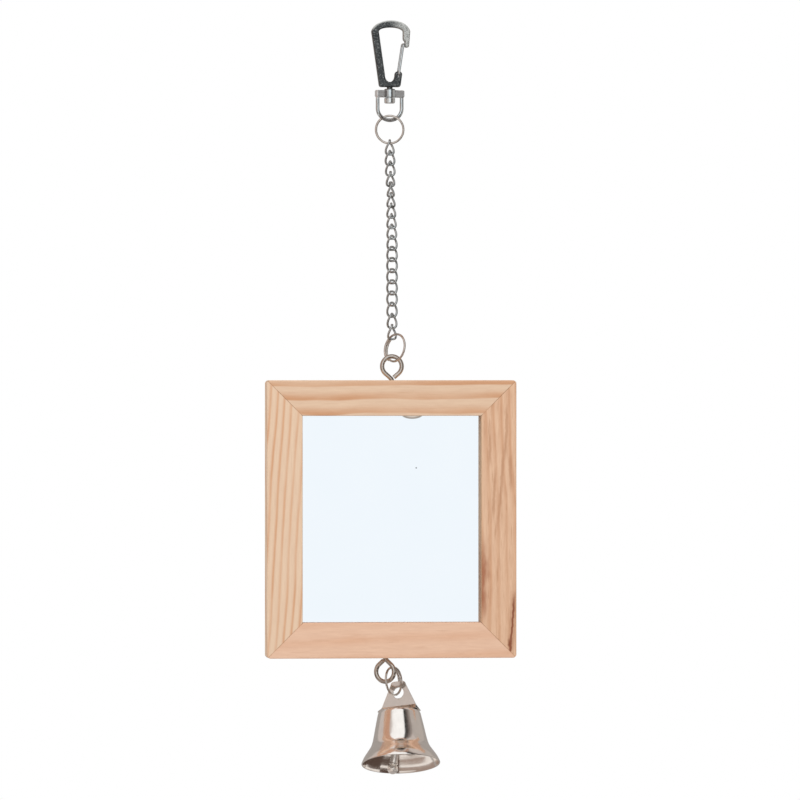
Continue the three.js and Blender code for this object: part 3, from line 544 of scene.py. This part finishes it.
# %% Mirror and board
CHIP, PINHOLE = (8.3, -152.6, 4.3, 1.75), (9.9, -173.6, 0.38, 0.38)
HOLE_COLOUR = (0.1, 0.1, 0.1)
mirror_paint = Paint("silvered_glass", metallic=1.0)
smear = mirror_paint.noise(55.0, detail=4.0)
mirror_paint.link(smear.between(0.35, 0.75, 0.012, 0.03), "Roughness")
silver = smear.ramp((0.2, (0.866, 0.928, 0.98)), (0.8, (0.88, 0.936, 0.985)))
glass_x, _, glass_z = mirror_paint.split()


def from_spot(x, z, half_width, half_height):
    """Distance from a spot on the glass, 1 at an ellipse round it; sizes in millimetres."""
    across, up = (glass_x - x * MM) / (half_width * MM), (glass_z - z * MM) / (half_height * MM)
    return across.length_with(up)


chipped = from_spot(*CHIP)
flake = chipped.ramp((0.45, (0.62, 0.52, 0.44)), (0.8, (0.27, 0.22, 0.17)))
silver = mirror_paint.mix(chipped.between(0.85, 1.05, 0.9, 0.0), silver, flake)
silver = mirror_paint.mix(from_spot(*PINHOLE).between(0.5, 1.0, 0.85, 0.0), silver, HOLE_COLOUR)
mirror_paint.link(silver, "Base Color")

board_paint = Paint("hardboard")
felted = board_paint.noise(900.0, detail=5.0, roughness=0.7)
brown = felted.ramp((0.3, (0.150, 0.085, 0.040)), (0.7, (0.290, 0.175, 0.090)))
clouds = board_paint.noise(60.0, detail=3.0).ramp((0.3, (0.82, 0.80, 0.78)), (0.7, WHITE))
board_paint.link(board_paint.mix(1.0, brown, clouds, "MULTIPLY"), "Base Color")
board_paint.link(felted.between(0.2, 0.8, 0.7, 0.9), "Roughness")
board_paint.bump(felted, 0.4, 0.1 * MM)
print("mirror and board finishes made")

# %% [markdown]
# ## Model nodes that stay
# The mitred rails, the pane, the board, the glazier's points and the corner fasteners are flat stock with
# the right shape already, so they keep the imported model's form and only get their finish.

# %% Finish the nodes that stay
staying = {"mirror_glass": mirror_paint, "backing_board": board_paint}
for side, finish in rail_finish.items():
    staying[f"{side}_rail"] = finish
    staying[f"{side}_glazier_point"] = steel
for corner in ("top_left", "top_right", "bottom_left", "bottom_right"):
    staying[f"{corner}_corner_fastener"] = steel
for node, finish in staying.items():
    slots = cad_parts[node].data.materials
    slots.clear()
    slots.append(finish.material)
print(len(staying), "nodes refinished")

# %% [markdown]
# ## Shared mesh helpers
# Every other piece is built in millimetres about a handy origin, turned as it hangs, and moved so that its
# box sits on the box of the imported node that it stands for. So only the model keeps positions.

# %% Mesh helpers


def bake(item):
    """Turns an object's modifiers into its plain mesh."""
    graph = bpy.context.evaluated_depsgraph_get()
    mesh = bpy.data.meshes.new_from_object(item.evaluated_get(graph), depsgraph=graph)
    item.modifiers.clear()
    item.data = mesh
    return item


def from_bmesh(name, form):
    bmesh.ops.remove_doubles(form, verts=form.verts, dist=1e-5)
    bmesh.ops.recalc_face_normals(form, faces=form.faces)
    mesh = bpy.data.meshes.new(name)
    form.to_mesh(mesh)
    form.free()
    return new_object(name, mesh)


def carve(item, tool, operation="DIFFERENCE"):
    """Boolean with another object, which is used up."""
    step = item.modifiers.new("carve", "BOOLEAN")
    step.operation = operation
    step.solver = "EXACT"
    step.object = tool
    bake(item)
    bpy.data.objects.remove(tool)


def ease(item, width, segments, angle):
    """Rounds the edges of an object that are sharper than an angle."""
    step = item.modifiers.new("ease", "BEVEL")
    step.width = width
    step.segments = segments
    step.limit_method = "ANGLE"
    step.angle_limit = math.radians(angle)
    bake(item)


def smooth(item, angle=35.0):
    """Smooth shading between edges sharper than an angle, with flat faces kept flat."""
    mesh = item.data
    mesh.polygons.foreach_set("use_smooth", [True] * len(mesh.polygons))
    mesh.set_sharp_from_angle(angle=math.radians(angle))
    step = item.modifiers.new("even", "WEIGHTED_NORMAL")
    step.weight = 100
    step.keep_sharp = True
    bake(item)


def place(item, body, node, turn=None, finish=None):
    """Scales and turns a piece, puts its box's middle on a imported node's and hands it to the frame."""
    mesh, matrix = item.data, Matrix.Scale(MM, 4)
    if turn is not None:
        matrix = turn.to_matrix().to_4x4() @ matrix
    mesh.transform(matrix)
    low, high = (Vector([pick(v.co[i] for v in mesh.vertices) for i in range(3)]) for pick in (min, max))
    node_low, node_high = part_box(node)
    mesh.transform(Matrix.Translation((node_low + node_high - low - high) / 2))
    worst = max(abs(a - b) for a, b in zip(high - low, node_high - node_low))
    print(f"{item.name}: {len(mesh.polygons)} faces, box within {worst / MM:.2f} mm of the node's")
    if finish is not None:
        mesh.materials.clear()
        mesh.materials.append(finish.material)
    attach(item, body)
    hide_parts(node)


print("mesh helpers ready")

# %% [markdown]
# ## Geometry Nodes: the curb link
# A curb chain is one link eighteen times. Its wire runs round a long oval whose ends are twisted 45
# degrees against each other, so that the next link lies flat in it. A bent circle could be posed by
# hand, but a rule on the curve's own parameter says it exactly: angle a gives x and z, and the height z
# gives the twist. A power under one squares the oval's sides, as in the picture. The tree sweeps the
# wire, turns the link and ends as one realised mesh.

# %% Tree helpers


def geometry_tree(name, sizes):
    """Tree with a mesh input, named number inputs and a material input."""
    tree = bpy.data.node_groups.new(name, "GeometryNodeTree")
    tree.interface.new_socket("Geometry", in_out="INPUT", socket_type="NodeSocketGeometry")
    for label, size in sizes.items():
        socket = tree.interface.new_socket(label, in_out="INPUT", socket_type="NodeSocketFloat")
        socket.default_value = size
    tree.interface.new_socket("Finish", in_out="INPUT", socket_type="NodeSocketMaterial")
    tree.interface.new_socket("Geometry", in_out="OUTPUT", socket_type="NodeSocketGeometry")
    start = tree.nodes.new("NodeGroupInput")
    return tree, {socket.name: Value(tree, socket) for socket in start.outputs if socket.name}


def along_curve(tree):
    """Share of the way along a curve, 0 to 1."""
    return value(tree, "GeometryNodeSplineParameter", output="Factor")


def sweep(tree, given, curve, sides, caps=False):
    """Round wire along a curve, as one smooth mesh with its finish: the tree's result."""
    section = value(tree, "GeometryNodeCurvePrimitiveCircle",
                    {"Resolution": sides, "Radius": given["Wire"] * 0.5})
    tube = value(tree, "GeometryNodeCurveToMesh",
                 {"Curve": curve, "Profile Curve": section, "Fill Caps": caps})
    real = value(tree, "GeometryNodeRealizeInstances", {0: tube})
    even = value(tree, "GeometryNodeSetShadeSmooth", {0: real})
    finish = value(tree, "GeometryNodeSetMaterial", {"Geometry": even, "Material": given["Finish"]})
    add_node(tree, "NodeGroupOutput", {0: finish})


def grow(name, tree, finish, sizes, route=None):
    """Object made by a tree; route is a chain of points for the trees that follow one."""
    mesh = bpy.data.meshes.new(name)
    if route:
        mesh.from_pydata(route, [(i, i + 1) for i in range(len(route) - 1)], [])
    item = new_object(name, mesh)
    step = item.modifiers.new(tree.name, "NODES")
    step.node_group = tree
    sockets = {s.name: s.identifier for s in tree.interface.items_tree if s.in_out == "INPUT"}
    for label, size in sizes.items():
        step[sockets[label]] = size
    step[sockets["Finish"]] = finish.material
    return bake(item)


print("tree helpers ready")

# %% Curb link tree
LINK_SIZES = {"Length": 6.5, "Width": 4.72, "Wire": 0.88, "Twist": 45.0, "Yaw": 0.0}
LINK_STEPS, SIDE_BLUNTNESS, THIN_WIRE_SIDES = 48, 0.6, 12


def curb_link_tree():
    tree, given = geometry_tree("curb_link", LINK_SIZES)
    oval = value(tree, "GeometryNodeCurvePrimitiveCircle", {"Resolution": LINK_STEPS, "Radius": 1.0})
    angle = along_curve(tree) * math.tau
    half = (given["Width"] - given["Wire"]) * 0.5
    reach = (given["Length"] - given["Wire"]) * 0.5
    rise = angle.sin() * 1.5 - angle.sin().power(3.0) * 0.5
    z = (reach - half) * rise + half * angle.sin()
    out = half * angle.cos().power(SIDE_BLUNTNESS)
    twist = z / reach * (given["Twist"] * DEGREE) + given["Yaw"] * DEGREE
    spot = combine(tree, out * twist.cos(), out * twist.sin(), z)
    bent = value(tree, "GeometryNodeSetPosition", {"Geometry": oval, "Position": spot})
    sweep(tree, given, bent, THIN_WIRE_SIDES)
    return tree


curb_link = curb_link_tree()
print("tree", curb_link.name, "with", len(curb_link.nodes), "nodes")

# %% [markdown]
# The upper links lie bunched and turned, and the lower ones hang flat, so each has its own turn about the
# chain's line.

# %% Curb chain
LINK_YAW = (45, 32, 34, 50, 66, 55, 45, 38, 30, 20, 10, 0, 0, 0, 0, 14, 30, 48)
for count, yaw in enumerate(LINK_YAW, start=1):
    link = grow(f"curb_link_{count:02d}", curb_link, chain_metal, {"Yaw": float(yaw)})
    place(link, f"link_{count:02d}", f"chain_link_{count:02d}")
print(len(LINK_YAW), "links")

# %% [markdown]
# ## Geometry Nodes: the split rings
# Each split ring is a coil of a turn and a third. A coil is a line whose points are sent round and along
# an axis in step, so the tree resamples a line, moves its points and sweeps the wire, with its cut ends
# closed.

# %% Split ring tree and the three rings
RING_SIZES = {"Diameter": 11.7, "Wire": 0.87, "Pitch": 1.1, "Turns": 1.3, "Start": 0.0}
RING_STEPS = 128
RINGS = {  # start of the wire, yaw and lean of the ring
    "upper": (118.0, -10.0, 0.0),
    "lower": (142.0, -54.0, -12.0),
    "bell": (-20.0, 53.0, -6.0),
}


def split_ring_tree():
    tree, given = geometry_tree("split_ring", RING_SIZES)
    line = value(tree, "GeometryNodeCurvePrimitiveLine")
    fine = value(tree, "GeometryNodeResampleCurve", {"Curve": line, "Count": RING_STEPS})
    turns = along_curve(tree) * given["Turns"]
    angle = turns * math.tau + given["Start"] * DEGREE
    radius = (given["Diameter"] - given["Wire"]) * 0.5
    level = (turns - given["Turns"] * 0.5) * (given["Pitch"] * -1.0)
    spot = combine(tree, radius * angle.cos(), level, radius * angle.sin())
    coil = value(tree, "GeometryNodeSetPosition", {"Geometry": fine, "Position": spot})
    sweep(tree, given, coil, THIN_WIRE_SIDES, caps=True)
    return tree


def tipped(yaw, lean):
    return Euler((math.radians(lean), 0.0, math.radians(yaw)), "XYZ")


split_ring = split_ring_tree()
for name, (start, yaw, lean) in RINGS.items():
    ring = grow(f"{name}_ring_coil", split_ring, ring_metal, {"Start": start})
    place(ring, f"{name}_ring", f"{name}_split_ring", tipped(yaw, lean))
print(len(RINGS), "split rings")

# %% [markdown]
# ## Geometry Nodes: bent wire
# The gate of the hook and the two screw eyes are bent from wire. Their routes are short lists of corners
# or an arc, so a third tree turns a chain of points into a curve, rounds its corners and sweeps it.

# %% Bent wire tree
BEND_STEPS, WIRE_SIDES = 6, 14


def bent_wire_tree():
    tree, given = geometry_tree("bent_wire", {"Wire": 1.0, "Bend": 0.5})
    route = value(tree, "GeometryNodeMeshToCurve", {0: given["Geometry"]})
    eased = value(tree, "GeometryNodeFilletCurve", {"Curve": route, "Radius": given["Bend"],
                                                    "Count": BEND_STEPS, "Limit Radius": True}, mode="POLY")
    sweep(tree, given, eased, WIRE_SIDES, caps=True)
    return tree


bent_wire = bent_wire_tree()
print("tree", bent_wire.name, "with", len(bent_wire.nodes), "nodes")

# %% [markdown]
# ## Outlines
# Cast, spun and folded pieces start as a flat outline of arcs and Bezier spans, made thick or turned
# about an axis. Its numbers can be read off the picture, which a sculpted mesh would hide.

# %% Outline helpers
LAID_DOWN = Matrix.Rotation(math.pi / 2, 4, "X")


def arc(x, z, radius, start, end, steps):
    """Spots on an arc about a spot, between two angles in degrees."""
    angles = [math.radians(start + (end - start) * i / steps) for i in range(steps + 1)]
    return [(x + radius * math.cos(a), z + radius * math.sin(a)) for a in angles]


def bezier(first, pull_first, pull_last, last, steps):
    handles = [Vector((x, 0.0, z)) for x, z in (first, pull_first, pull_last, last)]
    return [(p.x, p.z) for p in interpolate_bezier(*handles, steps)]


def dome(half, pull_half, foot, pull, steps):
    """Outline from one side over the top to the other."""
    return bezier((half, foot), (pull_half, pull), (-pull_half, pull), (-half, foot), steps)


def turn_corner(start, corner, end, steps):
    """Points of a quadratic curve from start to end that is pulled towards a corner."""
    shares = [i / steps for i in range(steps + 1)]
    return [start * (1 - t) ** 2 + corner * 2 * t * (1 - t) + end * t ** 2 for t in shares]


def rounded(corners, radius, steps=5, least=25.0):
    """Outline with each corner that is sharper than an angle cut back to a small curve."""
    out = []
    for i, corner in enumerate(corners):
        here = Vector(corner)
        before, after = Vector(corners[i - 1]) - here, Vector(corners[(i + 1) % len(corners)]) - here
        if 180.0 - math.degrees(before.angle(after)) < least:
            out.append(here)
            continue
        reach = min(radius, before.length * 0.45, after.length * 0.45)
        start, end = here + before.normalized() * reach, here + after.normalized() * reach
        out += turn_corner(start, here, end, steps)
    return out


def plate(name, outline, thickness):
    """Outline in X and Z, made thick through Y about the middle."""
    form = bmesh.new()
    front = [form.verts.new((x, -thickness / 2, z)) for x, z in outline]
    rear = [form.verts.new((x, thickness / 2, z)) for x, z in outline]
    form.faces.new(front)
    form.faces.new(rear[::-1])
    for i in range(len(outline)):
        k = (i + 1) % len(outline)
        form.faces.new((front[i], rear[i], rear[k], front[k]))
    return from_bmesh(name, form)


def lathe(name, profile, segments=48, ring=False):
    """Profile of (radius, height) turned about Z; ring closes a profile that stays off the axis."""
    form = bmesh.new()
    angles = [math.tau * i / segments for i in range(segments)]
    rows = []
    for radius, height in profile:
        steps = angles if radius > 1e-6 else [0.0]
        rows.append([form.verts.new((radius * math.cos(a), radius * math.sin(a), height)) for a in steps])
    pairs = list(zip(rows, rows[1:])) + ([(rows[-1], rows[0])] if ring else [])
    for low, high in pairs:
        for i in range(segments):
            k = (i + 1) % segments
            spots = [low[i % len(low)], low[k % len(low)], high[k % len(high)], high[i % len(high)]]
            form.faces.new(list(dict.fromkeys(spots)))
    return from_bmesh(name, form)


def cylinder(name, radius, low, high, segments):
    return lathe(name, [(0.0, low), (radius, low), (radius, high), (0.0, high)], segments)


print("outline helpers ready")

# %% Screw eyes and gate
EYE_RADIUS, EYE_WIRE = 3.875, 1.75
EYE_FOOT, EYE_SHANK = 5.55, 9.0
EYE_LEAD, EYE_END = 40.0, 2.25
EYES = {"top": Euler((0, 0, 0)), "bottom": Euler((0.0, math.pi, math.radians(-31.0)), "XYZ")}


def eye_route():
    """From the shank's end up into the loop, round it and straight back, in the XZ plane."""
    loop = [Vector((x, 0.0, z)) for x, z in arc(0.0, 0.0, EYE_RADIUS, -90.0 - EYE_LEAD, EYE_LEAD - 450.0, 64)]
    slope = math.radians(EYE_LEAD)
    lead = loop[0]
    corner = Vector((0.0, 0.0, lead.z + lead.x * math.tan(slope)))
    foot = Vector((0.0, 0.0, -EYE_FOOT))
    end = loop[-1] - Vector((math.cos(slope), 0.0, math.sin(slope))) * EYE_END
    shank_end = foot - Vector((0.0, 0.0, EYE_SHANK))
    return [shank_end] + turn_corner(foot, corner, lead, 8) + loop[1:] + [end]


for name, turn in EYES.items():
    eye = grow(f"{name}_eye_wire", bent_wire, eye_metal, {"Wire": EYE_WIRE, "Bend": 0.0}, eye_route())
    place(eye, "mirror", f"{name}_screw_eye", turn)

GATE_PIVOT, GATE_BAR = Vector((3.0, 0.0, -18.6)), Vector((4.8, 0.0, -6.7))
GATE_SIDE, GATE_TUCK, GATE_WIRE, GATE_BEND = 2.7, 0.6, 0.9, 0.9
gate_route = [Vector((p.x, y, p.z)) for p, y in (
    (GATE_PIVOT, GATE_TUCK), (GATE_PIVOT, GATE_SIDE), (GATE_BAR, GATE_SIDE),
    (GATE_BAR, -GATE_SIDE), (GATE_PIVOT, -GATE_SIDE), (GATE_PIVOT, -GATE_TUCK))]
gate = grow("gate_bow", bent_wire, gate_metal, {"Wire": GATE_WIRE, "Bend": GATE_BEND}, gate_route)
place(gate, "gate", "gate_wire")

# %% [markdown]
# ## Hook casting
# The hook is a flat die casting: one outline with straight limbs, a round crown, a stepped nose and a
# small horn for the gate, with a stem and a head below that hold the swivel. The outline is drawn with
# Bezier spans, its corners are rounded, it is made thick, and its rims are eased.

# %% Hook body
HOOK_WIDTH, HOOK_LIMB, HOOK_DROP, HOOK_THICKNESS, HOOK_CORNER = 15.2, 2.75, 23.5, 4.0, 0.9
SHOULDER_DROP, BASE_WIDTH, BASE_HEIGHT = 1.6, 8.2, 2.0
NOSE_REACH, NOSE_END, NOSE_STEP, NOSE_SEAT = 7.9, 1.6, 0.65, 2.4
HORN_RADIUS, HORN_BORE = 1.4, 0.7
STEM_TOP, HEAD_TOP, HEAD_BOTTOM = -22.6, -27.75, -29.95


def hook_outline():
    shoulder = HOOK_WIDTH / 2
    inner = shoulder - HOOK_LIMB
    nose = inner + NOSE_STEP
    horn_left = GATE_PIVOT.x - HORN_RADIUS
    base_left = STEM_X - BASE_WIDTH / 2
    back_foot = base_left + HOOK_LIMB * 0.75
    outer_pull = (4 * HOOK_LIMB + SHOULDER_DROP) / 3
    pocket_pull = (4 * (BASE_HEIGHT - HOOK_DROP) - GATE_PIVOT.z) / 3
    spots = [(nose, -NOSE_REACH), (nose + NOSE_END, -NOSE_REACH)]
    spots += dome(shoulder, inner * 1.3, -SHOULDER_DROP, outer_pull, 32)
    spots += [(base_left, -HOOK_DROP), (STEM_X + BASE_WIDTH / 2, -HOOK_DROP)]
    spots += arc(GATE_PIVOT.x, GATE_PIVOT.z, HORN_RADIUS, 0.0, 180.0, 16)
    spots += bezier((horn_left, GATE_PIVOT.z), (horn_left, pocket_pull), (back_foot, pocket_pull),
                    (back_foot, GATE_PIVOT.z), 24)[1:]
    spots += dome(-inner, -inner * 0.85, -SHOULDER_DROP, SHOULDER_DROP / 3, 28)
    return spots + [(inner, -NOSE_REACH + NOSE_SEAT + NOSE_STEP), (nose, -NOSE_REACH + NOSE_SEAT)]


hook = plate("hook_casting", rounded(hook_outline(), HOOK_CORNER), HOOK_THICKNESS)
ease(hook, width=0.55, segments=4, angle=50.0)
stem = lathe("stem", [(0.0, HEAD_BOTTOM), (1.6, HEAD_BOTTOM), (1.95, HEAD_BOTTOM + 0.12),
                      (2.15, HEAD_BOTTOM + 0.5), (2.15, HEAD_TOP - 0.25), (1.95, HEAD_TOP),
                      (1.15, HEAD_TOP), (1.15, STEM_TOP), (0.0, STEM_TOP)])
stem.data.transform(Matrix.Translation((STEM_X, 0.0, 0.0)))
carve(hook, stem, "UNION")
bore = cylinder("bore", HORN_BORE, -4.0, 4.0, 24)
bore.data.transform(Matrix.Translation(GATE_PIVOT) @ LAID_DOWN)
carve(hook, bore)
smooth(hook)
place(hook, "hook", "hook_body", finish=hook_metal)

# %% [markdown]
# ## Swivel bail
# The bail is cast in one piece too: a drum that turns on the stem, a bar across it and a bow of round
# wire below. The bow comes from the bent wire tree, and Booleans make one body of the three.

# %% Bail
BAIL_WIDTH, BAIL_WIRE, BAIL_BOTTOM, BOW_DEPTH, BAIL_YAW = 12.4, 1.5, -12.35, 4.6, 24.0
BAR_TOP, BAR_HEIGHT, BAR_DEPTH, BAR_CORNER = -0.5, 2.9, 2.4, 0.7
BOSS_RADIUS, BOSS_HEIGHT, BOSS_RIM, BOSS_BORE = 2.2, 3.4, 0.3, 1.275


def bow_route():
    side = BAIL_WIDTH / 2 - BAIL_WIRE / 2
    ends = [Vector((x, 0.0, BAR_TOP - BAR_HEIGHT / 2)) for x in (-side, side)]
    spots = [Vector((side * x, 0.0, BAIL_BOTTOM + BOW_DEPTH * (1 + z)))
             for x, z in arc(0.0, 0.0, 1.0, 180.0, 360.0, 32)]
    return ends[:1] + spots + ends[1:]


bar_side, bar_foot = BAIL_WIDTH / 2, BAR_TOP - BAR_HEIGHT
bar = [(-bar_side, bar_foot), (bar_side, bar_foot), (bar_side, BAR_TOP), (-bar_side, BAR_TOP)]
bail = plate("swivel_bail_casting", rounded(bar, BAR_CORNER), BAR_DEPTH)
ease(bail, width=0.35, segments=3, angle=50.0)
drum = lathe("drum", [(0.0, -BOSS_HEIGHT), (1.9, -BOSS_HEIGHT), (BOSS_RADIUS, -BOSS_HEIGHT + BOSS_RIM),
                      (BOSS_RADIUS, -BOSS_RIM), (1.9, 0.0), (0.0, 0.0)])
carve(bail, drum, "UNION")
carve(bail, grow("bow", bent_wire, bail_metal, {"Wire": BAIL_WIRE, "Bend": 0.0}, bow_route()), "UNION")
carve(bail, cylinder("bore", BOSS_BORE, -8.0, 4.0, 32))
smooth(bail)
place(bail, "bail", "swivel_bail", tipped(BAIL_YAW, 0.0), bail_metal)

# %% [markdown]
# ## Bell
# The shell is spun from thin sheet, so its section is a smooth line: a soft shoulder, a nearly straight
# waist and a lip that flares. A spline through a few radii, offset inwards by the sheet's thickness and
# rolled round at the lip, is turned about the bell's axis. Polished sheet shows every facet, so the turn
# has many steps.

# %% Bell shell
BELL_WALL, BELL_STEPS = 0.6, 128
BELL_TURN = (tipped(0.0, -17.5).to_matrix() @ tipped(-26.0, 0.0).to_matrix()).to_euler()
SHELL_CROWN = ((0.9, 0.0), (6.4, 0.0), (7.1, -0.02), (7.6, -0.1), (8.0, -0.3), (8.28, -0.6))
SHELL_RADII = ((8.45, -1.0), (8.95, -3.3), (9.55, -6.1), (10.2, -9.3), (10.8, -12.0), (11.5, -14.05),
               (12.5, -15.7), (13.5, -17.15), (14.45, -18.6), (15.1, -19.9), (15.42, -20.67))
SHELL_LIP = ((15.5, -20.95), (15.42, -21.17), (15.2, -21.25), (14.98, -21.17))


def spline(points, steps=6):
    """Smooth line through points (Catmull-Rom)."""
    spots = [Vector(p) for p in points]
    spots = [spots[0] * 2 - spots[1]] + spots + [spots[-1] * 2 - spots[-2]]
    line = []
    for a, b, c, d in zip(spots, spots[1:], spots[2:], spots[3:]):
        for i in range(steps):
            t = i / steps
            bend = (2 * a - 5 * b + 4 * c - d) * t ** 2 + (3 * b - a - 3 * c + d) * t ** 3
            line.append(0.5 * (2 * b + (c - a) * t + bend))
    return line + [spots[-2]]


def shell_section():
    outside = [Vector(p) for p in SHELL_CROWN] + spline(SHELL_RADII)
    inside = []
    for i, spot in enumerate(outside):
        before, after = outside[max(i - 1, 0)], outside[min(i + 1, len(outside) - 1)]
        along = (after - before).normalized()
        inside.append(spot + Vector((along.y, -along.x)) * BELL_WALL)
    return outside + list(SHELL_LIP) + inside[::-1]


shell = lathe("bell_shell_spun", shell_section(), BELL_STEPS, ring=True)
smooth(shell, 50.0)
place(shell, "bell", "bell_shell", BELL_TURN, bell_metal)

# %% [markdown]
# ## Hanger, rivet and clapper
# The hanger is a strip folded double: a flat tongue with a hole for the ring, its leaves spread below
# onto the crown. It is the fold's side view made wide, trimmed to the tongue's outline by a Boolean,
# drilled and eased. The rivet through the crown ends in an eye, and the clapper hangs in it.

# %% Hanger
HANGER_HEIGHT, HANGER_BASE, HANGER_TOP, HANGER_DEPTH = 12.4, 16.2, 6.2, 6.0
SHEET, FOLD, CORNER, SEAT_GAP = 0.45, 2.3, 1.3, 0.15
HOLE_RADIUS, HOLE_HEIGHT, RIVET_HOLE = 2.25, 7.7, 1.05


def side_plate(name, outline, width):
    """Outline in Y and Z, made wide through X."""
    item = plate(name, outline, width)
    item.data.transform(Matrix.Rotation(math.pi / 2, 4, "Z"))
    return item


def tongue_outline():
    inset, rise = HANGER_TOP / 2 - CORNER, HANGER_HEIGHT - CORNER
    spots = [(-HANGER_BASE / 2, SEAT_GAP), (HANGER_BASE / 2, SEAT_GAP)]
    return spots + arc(inset, rise, CORNER, 0.0, 90.0, 8) + arc(-inset, rise, CORNER, 90.0, 180.0, 8)


foot, hollow, floor_top = HANGER_DEPTH / 2, HANGER_DEPTH / 2 - 1.6 * SHEET, SEAT_GAP + SHEET
strip = [(-foot, SEAT_GAP), (foot, SEAT_GAP), (SHEET, FOLD), (SHEET, HANGER_HEIGHT),
         (-SHEET, HANGER_HEIGHT), (-SHEET, FOLD)]
inside = [(-hollow, floor_top), (hollow, floor_top), (0.0, FOLD - SHEET)]
hanger = side_plate("bell_hanger_strip", strip, HANGER_BASE + 1.0)
carve(hanger, side_plate("inside", inside, HANGER_BASE + 4.0))
carve(hanger, plate("tongue", tongue_outline(), 3 * HANGER_DEPTH), "INTERSECT")
drill = cylinder("drill", HOLE_RADIUS, -9.0, 9.0, 40)
drill.data.transform(Matrix.Translation((0.0, 0.0, HOLE_HEIGHT)) @ LAID_DOWN)
carve(hanger, drill)
carve(hanger, cylinder("drill", RIVET_HOLE, -1.0, 2 * SHEET, 24))
ease(hanger, width=0.12, segments=2, angle=40.0)
smooth(hanger, 40.0)
place(hanger, "bell", "bell_hanger", BELL_TURN, bell_metal)

# %% Rivet and clapper
LOOP_RADIUS, LOOP_WIRE, LOOP_PLAY, RIVET_RADIUS = 1.85, 0.7, 0.25, 0.8
CLAPPER_LENGTH, BALL_RADIUS, CLAPPER_LEAN = 18.0, 2.15, 8.6


def loop_wire(name, height, turn=0.0):
    """Closed eye of wire in the XZ plane, or turned about Z."""
    item = lathe(name, arc(LOOP_RADIUS, 0.0, LOOP_WIRE / 2, 0.0, 330.0, 11), 40, ring=True)
    item.data.transform(Matrix.Translation((0.0, 0.0, height)) @ Matrix.Rotation(math.radians(turn), 4, "Z")
                        @ LAID_DOWN)
    return item


rivet_eye = -BELL_WALL - SEAT_GAP - (LOOP_RADIUS + LOOP_WIRE / 2)
head = 2 * SEAT_GAP + SHEET
rivet = lathe("rivet", [(0.0, rivet_eye + LOOP_RADIUS - LOOP_WIRE / 2),
                        (RIVET_RADIUS, rivet_eye + LOOP_RADIUS), (RIVET_RADIUS, head), (1.1, head),
                        (1.06, head + 0.2), (0.85, head + 0.4), (0.5, head + 0.48), (0.0, head + 0.5)], 32)
carve(rivet, loop_wire("eye", rivet_eye, 90.0), "UNION")
smooth(rivet, 40.0)
place(rivet, "bell", "clapper_rivet", BELL_TURN, bell_metal)

loop_middle = LOOP_WIRE + LOOP_PLAY - LOOP_RADIUS
rod_top = loop_middle - LOOP_RADIUS + LOOP_WIRE / 2
neck = -CLAPPER_LENGTH + BALL_RADIUS * 0.85
ball = arc(0.0, -CLAPPER_LENGTH, BALL_RADIUS, -90.0, 50.0, 18)
ball[0] = (0.0, -CLAPPER_LENGTH - BALL_RADIUS)
rod = [(1.72, neck), (1.85, neck + 0.15), (1.85, neck + 0.4), (1.65, neck + 0.62), (1.6, neck + 0.8),
       (1.1, rod_top - LOOP_WIRE / 2), (0.0, rod_top - LOOP_WIRE * 0.4)]
clapper = lathe("clapper_rod", ball + rod, 40)
carve(clapper, loop_wire("eye", loop_middle), "UNION")
smooth(clapper, 40.0)
clapper_turn = Euler((0.0, math.radians(CLAPPER_LEAN), 0.0))
place(clapper, "clapper", "clapper", clapper_turn, clapper_metal)

# %% [markdown]
# ## Glue in the mitres
# The rails are glued at their mitres, and the joints show as faint lines, tan here and browner there. A
# bare gap between two rails would be black, so a thin sheet of dried glue fills the front of each.

# %% Glue lines
GLUE, GLUE_DEPTH, GLUE_SUNK, GLUE_SHORT = 0.14 * MM, 5.0 * MM, 0.06 * MM, 0.75 * MM
glue_paint = Paint("dried_glue")
tan = glue_paint.noise(90.0, detail=3.0)
glue_paint.link(tan.ramp((0.35, linear(150, 104, 72)), (0.6, linear(206, 160, 124))), "Base Color")
glue_paint.link(tan.between(0.3, 0.7, 0.45, 0.65), "Roughness")
for side, reach in (("left", 0), ("right", 1)):
    for edge, rise in (("bottom", 0), ("top", 1)):
        stile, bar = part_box(f"{side}_rail"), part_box(f"{edge}_rail")
        outer = Vector((stile[reach].x, 0.0, bar[rise].z))
        inner = Vector((stile[1 - reach].x, 0.0, bar[1 - rise].z))
        along = (outer - inner).normalized()
        aside = Vector((-along.z, 0.0, along.x)) * (GLUE / 2)
        inner, outer = inner + along * GLUE_SHORT, outer - along * GLUE_SHORT
        corners = (inner - aside, outer - aside, outer + aside, inner + aside)
        glue = plate(f"{edge}_{side}_glue", [(v.x, v.z) for v in corners], GLUE_DEPTH)
        glue.data.transform(Matrix.Translation((0.0, stile[0].y + GLUE_SUNK + GLUE_DEPTH / 2, 0.0)))
        glue.data.materials.append(glue_paint.material)
        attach(glue, "mirror")
print("four glue lines")
